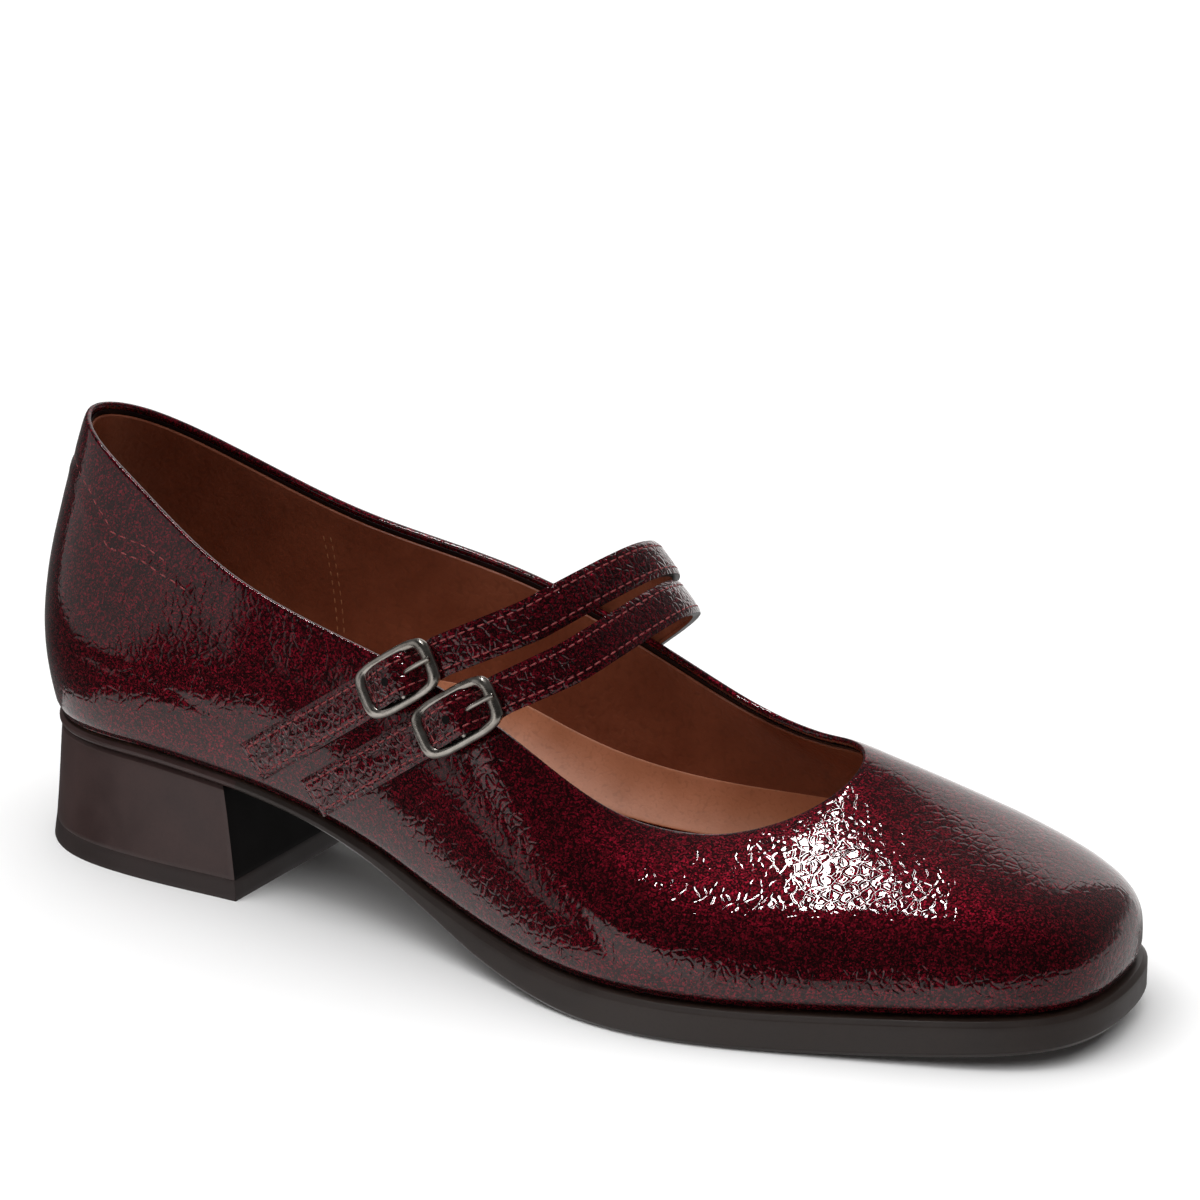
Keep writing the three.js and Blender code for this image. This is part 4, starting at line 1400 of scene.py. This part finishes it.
# %% [markdown]
# The panels stand in this order: the low white one before the heel, its dimmer end
# toward the toe, the grey one to the left, the tall one behind the shoe, and the low one
# beside it. Each row holds the two azimuths, the two elevations, the softness of the
# edges, all in degrees, and the radiance. The floor ends along a slanting edge, is darker
# straight below, where the shoe shades it, and dims toward the toe.

# %% World
def panel(wires, azimuth, elevation, side, low, high, soft):
    """1 inside a panel of the sky: side and heights are in degrees, edges are soft."""
    left = wires.ramp(azimuth, side[0] - soft, side[0] + soft)
    right = wires.inverse(wires.ramp(azimuth, side[1] - soft, side[1] + soft))
    foot = wires.ramp(elevation, low - soft, low + soft)
    top = wires.inverse(wires.ramp(elevation, high - soft, high + soft))
    return wires.math("MULTIPLY", wires.math("MULTIPLY", left, right), wires.math("MULTIPLY", foot, top))


PANELS = [
    ((-31, 4), -16, 13, 1.5, 1.15),
    ((4, 12), -16, 0, 3.0, 0.80),
    ((-88, -38.5), -7, 30, 1.5, 0.52),
    ((-190, -145), -20, 44, 6.0, 1.05),
    ((150, 190), -20, 2, 6.0, 0.60),
]


def make_world():
    world = bpy.data.worlds.new("studio")
    bpy.context.scene.world = world
    world.use_nodes = True
    wires = Wires(world.node_tree)
    x, y, z = wires.parts(wires.node("ShaderNodeTexCoord").outputs["Generated"])
    azimuth = wires.math("DEGREES", wires.math("ARCTAN2", x, wires.math("MULTIPLY", y, -1.0)))
    elevation = wires.math("DEGREES", wires.math("ARCSINE", z))
    behind = wires.ramp(y, -0.2, 0.9)
    light = wires.math("MULTIPLY_ADD", behind, 0.11, 0.045)
    edge = wires.math("MULTIPLY_ADD", azimuth, 0.45, 0.75)
    edge = wires.math("MAXIMUM", wires.math("MINIMUM", edge, -11.5), -27.0)
    near = wires.inverse(wires.ramp(wires.math("SUBTRACT", elevation, edge), -1.0, 1.0))
    own_shade = wires.ramp(elevation, -62.0, -38.0)
    toward_toe = wires.math("MULTIPLY_ADD", wires.ramp(azimuth, 5.0, 50.0), -0.38, 1.0)
    ground = wires.math("MULTIPLY", wires.math("MULTIPLY_ADD", own_shade, 0.62, 0.30), toward_toe)
    light = wires.math("MAXIMUM", light, wires.math("MULTIPLY", near, ground))
    for side, low, high, soft, radiance in PANELS:
        mask = panel(wires, azimuth, elevation, side, low, high, soft)
        light = wires.math("MAXIMUM", light, wires.math("MULTIPLY", mask, radiance))
    background = world.node_tree.nodes["Background"]
    background.inputs["Color"].default_value = (1.0, 0.975, 0.965, 1)
    wires.put(background.inputs["Strength"], light)


make_world()
print("world with", len(PANELS), "panels")

# %% [markdown]
# A wide sheet of light hangs over the set, and a smaller key lamp stands high at the
# left and gives the hollow of the shoe its shading. The long narrow strip light draws
# the broken white line down the vamp. It lights nothing else.

# %% Lamps
AIM = Vector((0.165, -0.02, 0.03))


def area_lamp(name, way, distance, width, length, radiance, along=(0, 1, 0), glossy=True):
    """A rectangle of light whose length lies along a given direction."""
    lamp = bpy.data.lights.new(name, "AREA")
    lamp.shape = "RECTANGLE"
    lamp.size = width
    lamp.size_y = length
    lamp.energy = radiance * math.pi * width * length
    holder = bpy.data.objects.new(name, lamp)
    way = Vector(way).normalized()
    side = Vector(along).cross(way).normalized()
    turn = Matrix((side, way.cross(side), way)).transposed().to_4x4()
    holder.matrix_world = Matrix.Translation(AIM + way * distance) @ turn
    holder.visible_glossy = glossy
    bpy.context.scene.collection.objects.link(holder)
    return holder


area_lamp("overhead_fill", (0, -0.05, 1), 3.0, 6.0, 6.0, 1.72, glossy=False)
area_lamp("key", (-0.35, -0.25, 1), 1.6, 0.7, 0.7, 3.2, glossy=False)
strip = area_lamp(
    "strip_light", (-0.262, 0.015, 0.965), 3.0, 0.06, 1.75, 80.0, along=(0.36, -0.933, 0))
strip.visible_diffuse = False

# %% [markdown]
# The picture is shown with a plain transfer curve, so that the white floor stays white
# and the red keeps its depth.

# %% Finish
bpy.context.scene.view_settings.view_transform = "Standard"
bpy.context.scene.view_settings.look = "None"
